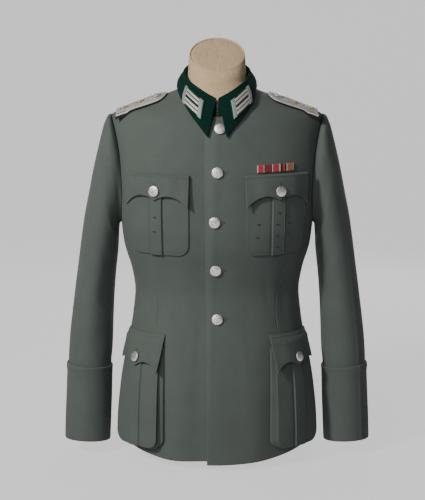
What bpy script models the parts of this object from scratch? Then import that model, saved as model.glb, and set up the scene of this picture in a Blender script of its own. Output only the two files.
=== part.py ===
"""Military tunic worn by a limbless dress form, as one object for each piece that a tailor cuts and sews on.

Metres, +Z up. The tunic faces -Y, its wearer's left is +X, and the form stands on Z = 0.
The torso is a stack of horizontal rings. Every piece that lies on it is made from the rings' points, moved out.
"""

import math
from collections import namedtuple
from functools import lru_cache

import bmesh
import bpy
import numpy as np
from mathutils import Matrix, Vector
from mathutils.bvhtree import BVHTree

# Cloth and seams
WALL = 0.0020  # the body's cloth with its canvas
SLEEVE_WALL = 0.0017
POCKET_WALL = 0.0017
SEAM = 0.0003  # the gap between pieces that are sewn together
LAYER = 0.0011  # the gap between pieces that lie on each other

# The torso's rings: half width, depth in front and behind, and how square the ring is
Ring = namedtuple("Ring", "z half_width front back square")
TORSO = (
    Ring(0.000, 0.1960, 0.154, 0.141, 2.10),
    Ring(0.060, 0.1950, 0.151, 0.139, 2.10),
    Ring(0.137, 0.1912, 0.146, 0.136, 2.12),
    Ring(0.189, 0.1870, 0.138, 0.131, 2.15),
    Ring(0.240, 0.1810, 0.128, 0.121, 2.18),
    Ring(0.291, 0.1727, 0.117, 0.108, 2.20),
    Ring(0.341, 0.1680, 0.112, 0.101, 2.22),
    Ring(0.391, 0.1752, 0.119, 0.105, 2.28),
    Ring(0.441, 0.1895, 0.129, 0.112, 2.34),
    Ring(0.478, 0.1935, 0.132, 0.116, 2.46),
    Ring(0.560, 0.2010, 0.129, 0.119, 2.46),
    Ring(0.620, 0.2065, 0.120, 0.116, 2.20),
    Ring(0.660, 0.2110, 0.109, 0.107, 2.00),
    Ring(0.688, 0.2130, 0.098, 0.096, 1.84),
    Ring(0.697, 0.2090, 0.093, 0.090, 1.80),
    Ring(0.709, 0.1766, 0.085, 0.084, 1.76),
    Ring(0.721, 0.1442, 0.0775, 0.077, 1.75),
    Ring(0.733, 0.1117, 0.070, 0.070, 1.78),
    Ring(0.745, 0.0793, 0.063, 0.064, 1.86),
    Ring(0.752, 0.0670, 0.0605, 0.062, 1.94),
    Ring(0.765, 0.0600, 0.0580, 0.060, 2.00),
)

# The largest soft folds: where each is round the body and up it, its reach, its lean and its height
Fold = namedtuple("Fold", "angle z half_angle half_height lean out")
TORSO_FOLDS = (
    Fold(22, 0.11, 9, 0.15, 0.0, 0.0030),
    Fold(-24, 0.10, 9, 0.15, 0.0, 0.0032),
    Fold(9, 0.09, 7, 0.13, 0.0, -0.0016),
    Fold(-11, 0.10, 7, 0.13, 0.0, -0.0018),
    Fold(50, 0.34, 7, 0.07, 0.0, -0.0022),
    Fold(-50, 0.34, 7, 0.07, 0.0, -0.0022),
    Fold(124, 0.13, 11, 0.16, 0.0, 0.0045),
    Fold(-124, 0.13, 11, 0.16, 0.0, 0.0045),
    Fold(150, 0.12, 10, 0.16, 0.0, -0.0030),
    Fold(-150, 0.12, 10, 0.16, 0.0, -0.0030),
    Fold(128, 0.50, 9, 0.09, -60.0, -0.0030),
    Fold(-128, 0.50, 9, 0.09, 60.0, -0.0030),
)

# Hem, fronts and armholes
HEM_FRONT, HEM_SIDE, HEM_BACK = 0.0135, 0.036, 0.033
UNDER_FRONT_RISE = 0.0075  # the covered front hangs this much shorter
FRONT_EDGE_LOW, FRONT_EDGE_HIGH = 0.0200, 0.0255  # past centre front, at hem and neck
FRONT_LAP = 0.0015  # the covering front rises and the covered one sinks by this
LAP_FADE = 0.040
COVERED_SHARE = 0.7  # the covered front reaches this share as far
LAP_REACH = 0.027  # the covering front is at its full height up to here past centre front
NECK_PIT = 0.688
UNDERARM, SHOULDER_TIP = 0.478, 0.697
ARMHOLE_FRONT, ARMHOLE_BACK = math.radians(22), math.radians(24)
NECK_HOLE = (0.0765, 0.0985, 0.0625)  # half width, front and back reach of the neckline in plan

# The sleeve's rings run from the armhole to the cuff, each between an outer and an inner point
Sleeve = namedtuple("Sleeve", "outer_x outer_z inner_x inner_z half_depth middle_y scoop")
SLEEVE = (
    Sleeve(0.2185, 0.6925, 0.1985, 0.4745, 0.0615, 0.000, 0.0095),
    Sleeve(0.2258, 0.6800, 0.2000, 0.4660, 0.0650, 0.000, 0.0060),
    Sleeve(0.2405, 0.6270, 0.2014, 0.4430, 0.0680, 0.002, 0.0010),
    Sleeve(0.2500, 0.5880, 0.2022, 0.4250, 0.0675, 0.003, 0.0000),
    Sleeve(0.2602, 0.5395, 0.2046, 0.4010, 0.0655, 0.004, 0.0000),
    Sleeve(0.2705, 0.4905, 0.2080, 0.3720, 0.0630, 0.005, 0.0000),
    Sleeve(0.2850, 0.3910, 0.2126, 0.3120, 0.0580, 0.004, 0.0000),
    Sleeve(0.2918, 0.3413, 0.2140, 0.2800, 0.0555, 0.002, 0.0000),
    Sleeve(0.3040, 0.2401, 0.2163, 0.2160, 0.0495, -0.005, 0.0000),
    Sleeve(0.3062, 0.2035, 0.2185, 0.1930, 0.0470, -0.009, 0.0000),
    Sleeve(0.3065, 0.1890, 0.2190, 0.1815, 0.0462, -0.010, 0.0000),
    Sleeve(0.3090, 0.1300, 0.2205, 0.1240, 0.0432, -0.014, 0.0000),
    Sleeve(0.3115, 0.0770, 0.2225, 0.0720, 0.0405, -0.018, 0.0000),
    Sleeve(0.3130, 0.0305, 0.2245, 0.0260, 0.0385, -0.021, 0.0000),
)
CUFF_ROWS = 4  # the sleeve's last rings, which the turned-back cuff covers
CUFF_LIFT = 0.0022
CUFF_GAP = 0.0006
CUFF_TILT = 0.09  # the cuff's lower edge rises towards the front
# A crease at the inside of the elbow: where it is down the sleeve and round it, its reaches and its depth
ELBOW_ROW, ELBOW_ROWS, ELBOW_TURN, ELBOW_TURNS, ELBOW_DEPTH = 7.0, 1.2, 235, 22, 0.0035
SLEEVE_RADIUS = 0.055  # about the sleeve's radius at the elbow

# The collar: its fold line and the fall's edge, by angle from centre front, on one side
Collar = namedtuple("Collar", "angle fold_x fold_y fold_z edge_x edge_y edge_z")
COLLAR = (
    Collar(1.2, 0.0016, -0.0905, 0.7260, 0.0185, -0.1185, 0.6520),
    Collar(25, 0.0265, -0.0815, 0.7400, 0.0370, -0.1100, 0.6760),
    Collar(45, 0.0455, -0.0640, 0.7530, 0.0560, -0.0955, 0.7010),
    Collar(67, 0.0590, -0.0350, 0.7640, 0.0725, -0.0640, 0.7275),
    Collar(90, 0.0650, 0.0010, 0.7810, 0.0805, -0.0060, 0.7485),
    Collar(125, 0.0540, 0.0380, 0.7960, 0.0750, 0.0520, 0.7370),
    Collar(155, 0.0270, 0.0570, 0.8040, 0.0370, 0.0745, 0.7350),
    Collar(180, 0.0000, 0.0620, 0.8060, 0.0000, 0.0800, 0.7350),
)
COLLAR_WALL = 0.0021
COLLAR_FOLD = 0.0034  # radius of the fold's outer face
COLLAR_SPREAD = 14  # rings on each side
COLLAR_SEAT = 0.0006  # the stand's foot is this far above the shoulders
# The section's shape: how far the stand bows out, the fall bows out and up, and the fold is flattened
STAND_BOW, FALL_BOW_OUT, FALL_BOW_UP = 0.0008, 0.0030, 0.0010
FOLD_SIDE, FOLD_DROP = 0.75, 0.30
STAND_HOLE = (0.0752, 0.0966, 0.0610)  # the stand's foot, inside the neckline
PATCH_START, PATCH_LENGTH = 0.022, 0.062  # from the fall's front end
PATCH_DOWN, PATCH_HEIGHT = (0.0150, 0.0065), (0.0400, 0.0435)  # from the fold, at both ends
PATCH_LIFT, PATCH_WALL = 0.0009, 0.0016

# Pockets lie on the body from an arc length round from centre front, on both sides
Pocket = namedtuple("Pocket", "near far top bottom corner pleat pleat_rise")
CHEST_POCKET = Pocket(0.055, 0.184, 0.572, 0.423, 0.022, 0.0250, 0.0022)
SKIRT_POCKET = Pocket(0.116, 0.217, 0.240, 0.041, 0.020, 0.0240, 0.0022)
PLEAT_STEP = 0.0009  # the pleat's folds take this much to rise over the pocket's face
GUSSET_SLANT = 0.010  # the gusset's foot lies this much outside the face's edge
GUSSET_RISE = 0.6  # how much of that slant the gusset has along the pocket's foot
# How far the bellows holds the skirt pocket's face off the skirt, by height
BELLOWS = ((0.040, 0.0150), (0.090, 0.0140), (0.150, 0.0105), (0.210, 0.0048), (0.240, 0.0012))
BELLOWS_SWELL = 0.35  # it stands this share further off at the pocket's far side
Flap = namedtuple("Flap", "near far top corner_drop far_drop scallop_drop point_drop slant stand_off tilt")
CHEST_FLAP = Flap(0.053, 0.186, 0.580, 0.0635, 0.0635, 0.0430, 0.0515, 0.002, 0.007, 0.035)
SKIRT_FLAP = Flap(0.104, 0.223, 0.264, 0.0750, 0.0600, 0.0565, 0.0675, 0.010, 0.008, 0.0)
FLAP_WALL = 0.0018
FLAP_DROPS = (0, 0.09, 0.22, 0.34, 0.50, 0.75, 1)  # the rows of a flap, from its seam to its edge
FLAP_COLUMNS = 13
ARCH_ROUNDNESS = 0.8
# A flap reaches its full height over its pocket this far down
CHEST_FLAP_TURN, SKIRT_FLAP_TURN = 0.0038, 0.0200
PLEAT_REACH, PLEAT_FADE = 0.20, 0.20  # shares of a flap's width from its middle: over the pleat, beside it

# Buttons: radius and height of the dome, and the shank that it stands on
Button = namedtuple("Button", "radius dome shank")
FRONT_BUTTON = Button(0.0107, 0.0036, 0.0022)
POCKET_BUTTON = Button(0.0103, 0.0034, 0.0022)
BOARD_BUTTON = Button(0.0088, 0.0032, 0.0006)
FRONT_BUTTON_PLACES = ((0.0050, 0.6670), (0.0, 0.5850), (-0.0050, 0.4905), (-0.0030, 0.3960), (0.0, 0.2980))

BUTTON_RISE = 0.0185  # a pocket's button above its flap's point

# Shoulder boards, their stars and the ribbon bar
BOARD_OUTER, BOARD_INNER = 0.2005, 0.0985  # along X
BOARD_WIDTH, BOARD_MIDDLE_Y = 0.045, -0.0255
BOARD_WALL, BOARD_LIFT = 0.0040, 0.0009
BOARD_RISE = 0.0014  # the stiff board bridges the shoulder's dip
BOARD_BENT_TO = 0.178  # further out than this the board keeps the same section
STARS = (0.1850, 0.1530)
STAR_RADIUS, STAR_WAIST, STAR_HEIGHT = 0.0094, 0.0050, 0.0030
STAR_RIM, STAR_GAP = 0.0010, 0.0006
BOARD_BUTTON_X = 0.1200
RIBBON_NEAR, RIBBON_FAR, RIBBON_LOW, RIBBON_HIGH, RIBBON_TILT = 0.076, 0.151, 0.5835, 0.5985, 0.004
RIBBON_WALL = 0.0030
RIBBON_LIFT = 0.0006

# The dress form: how far it is inside the cloth, by height, and its neck
FORM_INSET = (
    (0.000, 0.080), (0.006, 0.074), (0.050, 0.058), (0.110, 0.040), (0.180, 0.022), (0.260, 0.0115),
    (0.340, 0.0090), (0.440, 0.0110), (0.560, 0.0110), (0.620, 0.0090), (0.660, 0.0080), (0.690, 0.0068),
    (0.709, 0.0058), (0.733, 0.0050), (0.745, 0.0050), (0.765, 0.0055),
)
FORM_LEVELS = (
    0.0, 0.006, 0.06, 0.12, 0.19, 0.26, 0.34, 0.41, 0.48, 0.55, 0.61, 0.65, 0.675, 0.690,
    0.699, 0.709, 0.721, 0.733, 0.745,
)
FORM_ARM_PLATE = 0.1960  # the form's sides are cut flat here at the armholes
FORM_AROUND = 28
NECK_SECTIONS = ((0.0600, 0.0560), (0.0585, 0.0540), (0.0570, 0.0500), (0.0555, 0.0445))
NECK_CAP_Z, NECK_CAP_TILT = 0.8120, math.radians(38.7)

MIDDLE_Y = -0.00712  # the middle of the whole object's depth, which the frame's origin lies under

# Grid sizes of the panels: across and up
PANEL_ACROSS, PANEL_SKIRT, PANEL_ARM, NECK_STEPS = 13, 10, 13, 7
SLEEVE_AROUND = 2 * (PANEL_ARM - 1)  # the sleeve's rings continue the armhole's points


class Curve:
    """A smooth curve through the rows of a table, which doesn't overshoot them."""

    def __init__(self, at, values):
        self.at, self.values = np.array(at, float), np.array(values, float)
        step = np.diff(self.at)
        rise = np.diff(self.values) / step
        slopes = np.concatenate([[rise[0]], np.zeros(len(step) - 1), [rise[-1]]])
        for i in range(1, len(step)):
            if rise[i - 1] * rise[i] > 0:
                before, after = 2 * step[i] + step[i - 1], step[i] + 2 * step[i - 1]
                slopes[i] = (before + after) / (before / rise[i - 1] + after / rise[i])
        self.slopes = slopes

    def __call__(self, x):
        x = min(max(x, self.at[0]), self.at[-1])
        i = min(int(np.searchsorted(self.at, x, side="right")) - 1, len(self.at) - 2)
        width = self.at[i + 1] - self.at[i]
        u = (x - self.at[i]) / width
        return float(
            self.values[i] * (1 + 2 * u) * (1 - u) ** 2
            + self.slopes[i] * width * u * (1 - u) ** 2
            + self.values[i + 1] * u * u * (3 - 2 * u)
            + self.slopes[i + 1] * width * u * u * (u - 1)
        )


def column(rows, key, value):
    """The curve of one column of a table against another."""
    return Curve([getattr(r, key) for r in rows], [getattr(r, value) for r in rows])


AXES = Vector((1, 0, 0)), Vector((0, 1, 0)), Vector((0, 0, 1))
TORSO_CURVES = {name: column(TORSO, "z", name) for name in Ring._fields[1:]}
INSET = Curve([z for z, _ in FORM_INSET], [inset for _, inset in FORM_INSET])


def smooth(x):
    x = min(max(x, 0.0), 1.0)
    return x * x * (3 - 2 * x)


def mix(a, b, u):
    return a + (b - a) * u


@lru_cache(maxsize=4096)
def ring_sizes(z):
    return tuple(TORSO_CURVES[name](z) for name in Ring._fields[1:])


def plain_ring_point(angle, z):
    """A ring's point, at an angle from centre front that grows to the wearer's left."""
    half_width, front, back, square = ring_sizes(round(z, 6))
    across, along = math.sin(angle), math.cos(angle)
    x = math.copysign(half_width * abs(across) ** (2 / square), across)
    y = (-front if along > 0 else back) * abs(along) ** (2 / square)
    return Vector((x, y, z))


def fold_height(angle, z):
    """How far the soft folds stand out of the body there."""
    out = 0.0
    for f in TORSO_FOLDS:
        middle = f.angle + f.lean * (z - f.z)
        around = (math.degrees(angle) - middle + 180) % 360 - 180
        reach = (around / f.half_angle) ** 2 + ((z - f.z) / f.half_height) ** 2
        out += f.out * math.exp(-reach)
    return out


def normal_at(angle, z):
    """The body's outward direction, smoothed over a few millimetres."""
    turn, rise = math.radians(4), 0.003
    around = plain_ring_point(angle + turn, z) - plain_ring_point(angle - turn, z)
    up = plain_ring_point(angle, z + rise) - plain_ring_point(angle, z - rise)
    return around.cross(up).normalized()


def body(angle, z, lift=0.0):
    """A point of the tunic's outer face, moved out by lift."""
    return plain_ring_point(angle, z) + normal_at(angle, z) * (fold_height(angle, z) + lift)


RING_ANGLES = np.linspace(0, math.pi, 181)


@lru_cache(maxsize=4096)
def ring_arcs(z):
    """Arc length from centre front at each of RING_ANGLES."""
    points = np.array([plain_ring_point(a, z) for a in RING_ANGLES])
    return np.concatenate([[0], np.cumsum(np.linalg.norm(np.diff(points, axis=0), axis=1))])


def angle_of_arc(arc, z):
    found = np.interp(abs(arc), ring_arcs(round(z, 5)), RING_ANGLES)
    return math.copysign(float(found), arc)


def arc_of_angle(angle, z):
    return math.copysign(float(np.interp(abs(angle), RING_ANGLES, ring_arcs(round(z, 5)))), angle)


class Cloth:
    """Finds points of pieces that are built, for what is made from those points, moved out."""

    def __init__(self, pieces):
        points, faces = [], []
        for piece in pieces:
            start = len(points)
            points += [v.co.copy() for v in piece.data.vertices]
            faces += [[start + k for k in polygon.vertices] for polygon in piece.data.polygons]
        self.tree = BVHTree.FromPolygons(points, faces)

    def under(self, p, outward, lift, reach=0.03):
        """The cloth's face on the line through p, moved out by lift."""
        place = self.tree.ray_cast(p + outward * reach, -outward, 2 * reach)[0]
        return (place or p) + outward * lift

    def on_body(self, arc, z, lift=0.0):
        """A point of the tunic's face at an arc length round from centre front, moved out by lift."""
        angle = angle_of_arc(arc, z)
        return self.under(body(angle, z), normal_at(angle, z), lift)


def shoulder_height(x, y):
    """The height at which the torso's rings reach a point of the plan."""
    low, high = 0.55, 0.765
    for _ in range(30):
        z = (low + high) / 2
        half_width, front, back, square = ring_sizes(round(z, 6))
        depth = front if y < 0 else back
        inside = (abs(x) / half_width) ** square + (abs(y) / depth) ** square
        low, high = (z, high) if inside < 1 else (low, z)
    return (low + high) / 2


def ring_angle_of(x, y, z):
    """The ring angle of a point that lies on the torso."""
    half_width, front, back, square = ring_sizes(round(z, 6))
    across = (abs(x) / half_width) ** (square / 2)
    along = (abs(y) / (front if y < 0 else back)) ** (square / 2)
    return math.copysign(math.atan2(across, -along if y > 0 else along), x)


def front_edge(z):
    """How far the covering front's edge lies past centre front."""
    return mix(FRONT_EDGE_LOW, FRONT_EDGE_HIGH, (z - HEM_FRONT) / (NECK_PIT - HEM_FRONT))


def hem(angle):
    """The hem's height round the body."""
    side = math.sin(angle) ** 2
    return mix(HEM_FRONT if math.cos(angle) > 0 else HEM_BACK, HEM_SIDE, side)


def grid_normals(points, closed):
    """The direction at each point of a grid, from its neighbours."""
    if closed:
        along = np.roll(points, -1, axis=1) - np.roll(points, 1, axis=1)
    else:
        along = np.gradient(points, axis=1)
    up = np.gradient(points, axis=0)
    cross = np.cross(along, up)
    return cross / np.maximum(np.linalg.norm(cross, axis=2, keepdims=True), 1e-12)


def wall(name, outer, inner, material, closed=False):
    """A cloth wall between two grids of the same size, rows of points; closed joins each row's ends."""
    rows, cols = outer.shape[:2]
    mesh = bpy.data.meshes.new(name)
    bm = bmesh.new()
    out = [[bm.verts.new(p) for p in row] for row in outer]
    ins = [[bm.verts.new(p) for p in row] for row in inner]
    last = cols if closed else cols - 1
    for i in range(rows - 1):
        for j in range(last):
            k = (j + 1) % cols
            bm.faces.new((out[i][j], out[i][k], out[i + 1][k], out[i + 1][j]))
            bm.faces.new((ins[i][j], ins[i + 1][j], ins[i + 1][k], ins[i][k]))
    for j in range(last):
        k = (j + 1) % cols
        bm.faces.new((out[0][k], out[0][j], ins[0][j], ins[0][k]))
        bm.faces.new((out[-1][j], out[-1][k], ins[-1][k], ins[-1][j]))
    if not closed:
        for i in range(rows - 1):
            bm.faces.new((out[i][0], out[i + 1][0], ins[i + 1][0], ins[i][0]))
            bm.faces.new((out[i + 1][-1], out[i][-1], ins[i][-1], ins[i + 1][-1]))
    return finish(name, mesh, bm, material)


def finish(name, mesh, bm, material, sharp=40):
    """Turns the faces outwards, shades them and puts the object in the scene."""
    bmesh.ops.recalc_face_normals(bm, faces=bm.faces)
    bmesh.ops.triangulate(bm, faces=bm.faces, quad_method="SHORT_EDGE")
    if bm.calc_volume(signed=True) < 0:
        bmesh.ops.reverse_faces(bm, faces=bm.faces)
    bm.to_mesh(mesh)
    bm.free()
    mesh.materials.append(material)
    mesh.shade_smooth()
    mesh.set_sharp_from_angle(angle=math.radians(sharp))
    made = bpy.data.objects.new(name, mesh)
    bpy.context.scene.collection.objects.link(made)
    return made


def grid(cols, rows, point):
    """The points of a function of two shares, across and along, as an array."""
    return np.array([[point(j / (cols - 1), i / (rows - 1)) for j in range(cols)] for i in range(rows)])


def neckline(angle):
    """Arc length and height of the neckline, at an angle of its plan."""
    half_width, front, back = NECK_HOLE
    x = half_width * math.sin(angle)
    y = -front * math.cos(angle) if math.cos(angle) > 0 else -back * math.cos(angle)
    z = shoulder_height(x, y)
    return np.array([arc_of_angle(ring_angle_of(x, y, z), z), z])


def armhole(share, reach):
    """Angle and height along half of the armhole, from the underarm to the shoulder's tip."""
    turn = math.pi * (share - 0.5)
    middle, half = (UNDERARM + SHOULDER_TIP) / 2, (SHOULDER_TIP - UNDERARM) / 2
    return math.pi / 2 + reach * math.cos(turn), middle + half * math.sin(turn)


def outside(p):
    """Below zero inside the torso's rings, above it outside."""
    half_width, front, back, square = ring_sizes(round(p.z, 6))
    return (abs(p.x) / half_width) ** square + (abs(p.y) / (front if p.y < 0 else back)) ** square - 1


def seated(p):
    """The point of the torso's rings nearest to a point."""
    step = 0.0004
    for _ in range(8):
        slope = Vector([(outside(p + step * e) - outside(p - step * e)) / (2 * step) for e in AXES])
        p = p - slope * (outside(p) / slope.length_squared)
    return p


def in_space(points):
    """The points of an edge that is given by arc length and height."""
    return [plain_ring_point(angle_of_arc(arc, z), z) for arc, z in points]


def panel_patch(centre, top, side, bottom):
    """A grid of points of the torso between four edges: centre and side run up, the others out."""
    rows, cols = len(centre), len(top)
    made = [[None] * cols for _ in range(rows)]
    for i in range(rows):
        v = i / (rows - 1)
        for j in range(cols):
            u = j / (cols - 1)
            edges = (1 - v) * bottom[j] + v * top[j] + (1 - u) * centre[i] + u * side[i]
            corners = mix(mix(bottom[0], bottom[-1], u), mix(top[0], top[-1], u), v)
            inside = 0 < i < rows - 1 and 0 < j < cols - 1
            made[i][j] = seated(edges - corners) if inside else edges - corners
    return made


def front_lap(x, covering):
    """How far a front is lifted where the two fronts lie on each other."""
    if covering:
        return FRONT_LAP * (1 - smooth((x - LAP_REACH) / LAP_FADE))
    return -FRONT_LAP * smooth((x + LAP_REACH + LAP_FADE) / LAP_FADE)


def front_boundaries(covering):
    """The four edges of a front, as arc length and height, for the wearer's left."""
    rise = 0.0 if covering else UNDER_FRONT_RISE
    centre_reach = -1.0 if covering else -COVERED_SHARE
    rows = PANEL_SKIRT + PANEL_ARM
    hem_low = HEM_FRONT + rise
    centre = [
        (centre_reach * front_edge(z), z)
        for z in (mix(hem_low, NECK_PIT - 0.0012, i / (rows - 1)) for i in range(rows))
    ]
    seams = []
    for i in range(PANEL_SKIRT):
        z = mix(HEM_SIDE, UNDERARM, i / PANEL_SKIRT)
        seams.append((arc_of_angle(math.pi / 2, z) - SEAM / 2, z))
    for i in range(PANEL_ARM):
        angle, z = armhole(i / (PANEL_ARM - 1), -ARMHOLE_FRONT)
        seams.append((arc_of_angle(angle, z) - SEAM / 2, z))
    hem_line = []
    for j in range(PANEL_ACROSS):
        angle = mix(angle_of_arc(centre[0][0], hem_low), math.pi / 2, j / (PANEL_ACROSS - 1))
        z = hem(angle) + rise * (1 - smooth(abs(angle) / 0.6))
        hem_line.append((arc_of_angle(angle, z), z))
    hem_line[0], hem_line[-1] = centre[0], seams[0]
    return centre, top_edge(centre[-1], seams[-1], 0.0), seams, hem_line


def top_edge(start, tip, angle_from):
    """The neckline and then the shoulder seam, from the panel's centre edge out to the shoulder's tip."""
    points = [start]
    for i in range(1, NECK_STEPS):
        angle = mix(angle_from, math.pi / 2, (i / NECK_STEPS) ** 0.9)
        points.append(tuple(neckline(angle)))
    last = PANEL_ACROSS - NECK_STEPS
    side = -SEAM / 2 if angle_from < 1 else SEAM / 2
    neck_point = neckline(math.pi / 2)[1]
    for i in range(last - 1):
        z = mix(neck_point, SHOULDER_TIP, i / (last - 1))
        points.append((arc_of_angle(math.pi / 2, z) + side, z))
    return [*points, tip]


def back_boundaries():
    rows = PANEL_SKIRT + PANEL_ARM
    neck_back = neckline(math.pi)[1]
    half = lambda z: ring_arcs(round(z, 5))[-1] - SEAM / 2
    centre = [(half(z), z) for z in (mix(HEM_BACK, neck_back, i / (rows - 1)) for i in range(rows))]
    seams = []
    for i in range(PANEL_SKIRT):
        z = mix(HEM_SIDE, UNDERARM, i / PANEL_SKIRT)
        seams.append((arc_of_angle(math.pi / 2, z) + SEAM / 2, z))
    for i in range(PANEL_ARM):
        angle, z = armhole(i / (PANEL_ARM - 1), ARMHOLE_BACK)
        seams.append((arc_of_angle(angle, z) + SEAM / 2, z))
    hem_line = []
    for j in range(PANEL_ACROSS):
        angle = mix(math.pi, math.pi / 2, j / (PANEL_ACROSS - 1))
        hem_line.append((arc_of_angle(angle, hem(angle)), hem(angle)))
    hem_line[0], hem_line[-1] = centre[0], seams[0]
    return centre, top_edge(centre[-1], seams[-1], math.pi), seams, hem_line


def body_panel(name, edges, mirror, material, lap=None):
    """A panel of the tunic: a patch between its edges, laid on the rings, and its wall inwards."""
    patch = panel_patch(*[in_space(edge) for edge in edges])
    outer, inner = (np.zeros((len(patch), len(patch[0]), 3)) for _ in range(2))
    for i, row in enumerate(patch):
        for j, p in enumerate(row):
            angle = ring_angle_of(mirror * p.x, p.y, p.z)
            lift = lap(mirror * p.x) if lap else 0.0
            outer[i, j], inner[i, j] = body(angle, p.z, lift), body(angle, p.z, lift - WALL)
    return wall(name, outer, inner, material)


def sleeve_ring(row, lift=0.0, side=1):
    """A ring between the sleeve's outer and inner line; lift moves it off the sleeve's own ring."""
    outer, inner = Vector((row.outer_x, 0, row.outer_z)), Vector((row.inner_x, 0, row.inner_z))
    middle, half = (outer + inner) / 2, (outer - inner) / 2
    reach = half.length + lift
    points = []
    for j in range(SLEEVE_AROUND):
        turn = 2 * math.pi * j / SLEEVE_AROUND
        across, along = math.cos(turn), math.sin(turn)
        p = middle + half.normalized() * reach * across
        p.y = row.middle_y + (row.half_depth + lift) * along
        p.x -= row.scoop * along**2
        points.append((side * p.x, p.y, p.z))
    return points


def sleeve_start(side):
    """The sleeve's first ring: the armhole's own points, a seam's gap inside its edge."""
    points = []
    for j in range(SLEEVE_AROUND):
        turn = 2 * math.pi * j / SLEEVE_AROUND
        share = 1 - turn / math.pi if turn <= math.pi else turn / math.pi - 1
        reach = ARMHOLE_BACK if turn <= math.pi else -ARMHOLE_FRONT
        angle, z = armhole(share, reach)
        points.append(body(angle, z))
    middle = sum(points, Vector()) / len(points)
    inwards = [p + (middle - p).normalized() * SEAM for p in points]
    return [(side * p.x, p.y, p.z) for p in inwards]


def crease(rings):
    """Presses the elbow's crease into the inside of the sleeve."""
    made = rings.copy()
    for i in range(len(rings)):
        share = math.exp(-(((i - ELBOW_ROW) / ELBOW_ROWS) ** 2))
        for j in range(SLEEVE_AROUND):
            turn = 2 * math.pi * j / SLEEVE_AROUND
            inside = math.exp(-(((math.degrees(turn) - ELBOW_TURN) / ELBOW_TURNS) ** 2))
            made[i, j] += (rings[i].mean(axis=0) - rings[i, j]) * inside * share * ELBOW_DEPTH / SLEEVE_RADIUS
    return made


def tilted(rings, first):
    """Raises the front of the sleeve's lower edge, more towards the last ring."""
    made = rings.copy()
    for i in range(first, len(rings)):
        share = (i - first) / (len(rings) - 1 - first)
        made[i, :, 2] -= share * CUFF_TILT * (rings[i, :, 1] - rings[i, :, 1].mean())
    return made


def sleeve(side, cloth):
    """A sleeve with its turned-back cuff."""
    name = "left" if side > 0 else "right"
    first = len(SLEEVE) - CUFF_ROWS
    rings = np.array([sleeve_start(side)] + [sleeve_ring(row, side=side) for row in SLEEVE])
    rings = tilted(crease(rings), first)
    normals = grid_normals(rings, closed=True) * -side
    normals[0] = normals[1]
    wall(f"sleeve_{name}", rings, rings - normals * SLEEVE_WALL, cloth, closed=True)
    covered = rings[first + 1 :]
    out = normals[first + 1 :]
    outer, inner = covered + out * (CUFF_GAP + CUFF_LIFT), covered + out * CUFF_GAP
    outer[-1, :, 2] -= CUFF_GAP
    inner[-1, :, 2] -= CUFF_GAP
    wall(f"cuff_{name}", outer, inner, cloth, closed=True)


def collar_curves():
    return {name: column(COLLAR, "angle", name) for name in Collar._fields[1:]}


COLLAR_CURVES = collar_curves()


def collar_section(turn):
    """The collar's visible face, from its foot over the fold to the fall's edge, at a turn from centre back."""
    side = 1 if turn >= 0 else -1
    angle = 180 - abs(turn)
    value = {name: curve(angle) for name, curve in COLLAR_CURVES.items()}
    fold = Vector((side * value["fold_x"], value["fold_y"], value["fold_z"]))
    edge = Vector((side * value["edge_x"], value["edge_y"], value["edge_z"]))
    around = math.radians(angle)
    half_width, front, back = STAND_HOLE
    foot_x = side * half_width * math.sin(around)
    foot_y = -front * math.cos(around) if math.cos(around) > 0 else -back * math.cos(around)
    foot = Vector((foot_x, foot_y, shoulder_height(foot_x, foot_y) + COLLAR_SEAT))
    out = Vector((fold.x, fold.y, 0)).normalized()
    up = Vector((0, 0, 1))
    r = COLLAR_FOLD
    before, after = fold - out * r - up * r, fold + out * r - up * r
    bulge = out * FALL_BOW_OUT + up * FALL_BOW_UP
    return [
        foot,
        mix(foot, before, 0.5) + out * STAND_BOW,
        before,
        fold - out * r * FOLD_SIDE - up * r * FOLD_DROP,
        fold,
        fold + out * r * FOLD_SIDE - up * r * FOLD_DROP,
        after,
        mix(after, edge, 0.33) + bulge,
        mix(after, edge, 0.67) + bulge,
        edge,
    ]


def collar(material):
    """The collar: a stand and a fall in one folded piece, open at centre front."""
    reach = 180 - COLLAR[0].angle
    turns = [reach * (j / COLLAR_SPREAD - 1) for j in range(2 * COLLAR_SPREAD + 1)]
    sections = np.array([[tuple(p) for p in collar_section(turn)] for turn in turns])
    normals = grid_normals(sections, closed=False)
    if (normals[COLLAR_SPREAD, 0, 1]) > 0:
        normals = -normals
    return wall("collar", sections, sections - normals * COLLAR_WALL, material)


def fall_point(along, down, side):
    """A point of the fall at a length from the front end and a drop from the fold, and its outward direction."""
    reach = 180 - COLLAR[0].angle
    turns = [side * (reach - 2.0 * k) for k in range(50)]
    folds = [collar_section(turn)[6] for turn in turns]
    run = np.concatenate([[0], np.cumsum([(b - a).length for a, b in zip(folds, folds[1:])])])
    turn = float(np.interp(along, run, np.abs(turns))) * side
    face = lambda t: collar_section(t)[6:]
    strip = face(turn)
    lengths = np.concatenate([[0], np.cumsum([(b - a).length for a, b in zip(strip, strip[1:])])])
    at = lambda points: path_at(points, lengths, down)
    step = 1.5
    tangent = at(face(turn + step)) - at(face(turn - step))
    drop = path_at(strip, lengths, down + 0.002) - path_at(strip, lengths, down - 0.002)
    normal = tangent.cross(drop).normalized()
    place = at(strip)
    if normal.dot(Vector((place.x, place.y - 0.01, 0))) < 0:
        normal = -normal
    return place, normal


def path_at(points, lengths, length):
    """The point of a polyline at a length along it."""
    i = int(min(max(np.searchsorted(lengths, length) - 1, 0), len(points) - 2))
    return mix(points[i], points[i + 1], (length - lengths[i]) / (lengths[i + 1] - lengths[i]))


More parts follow.
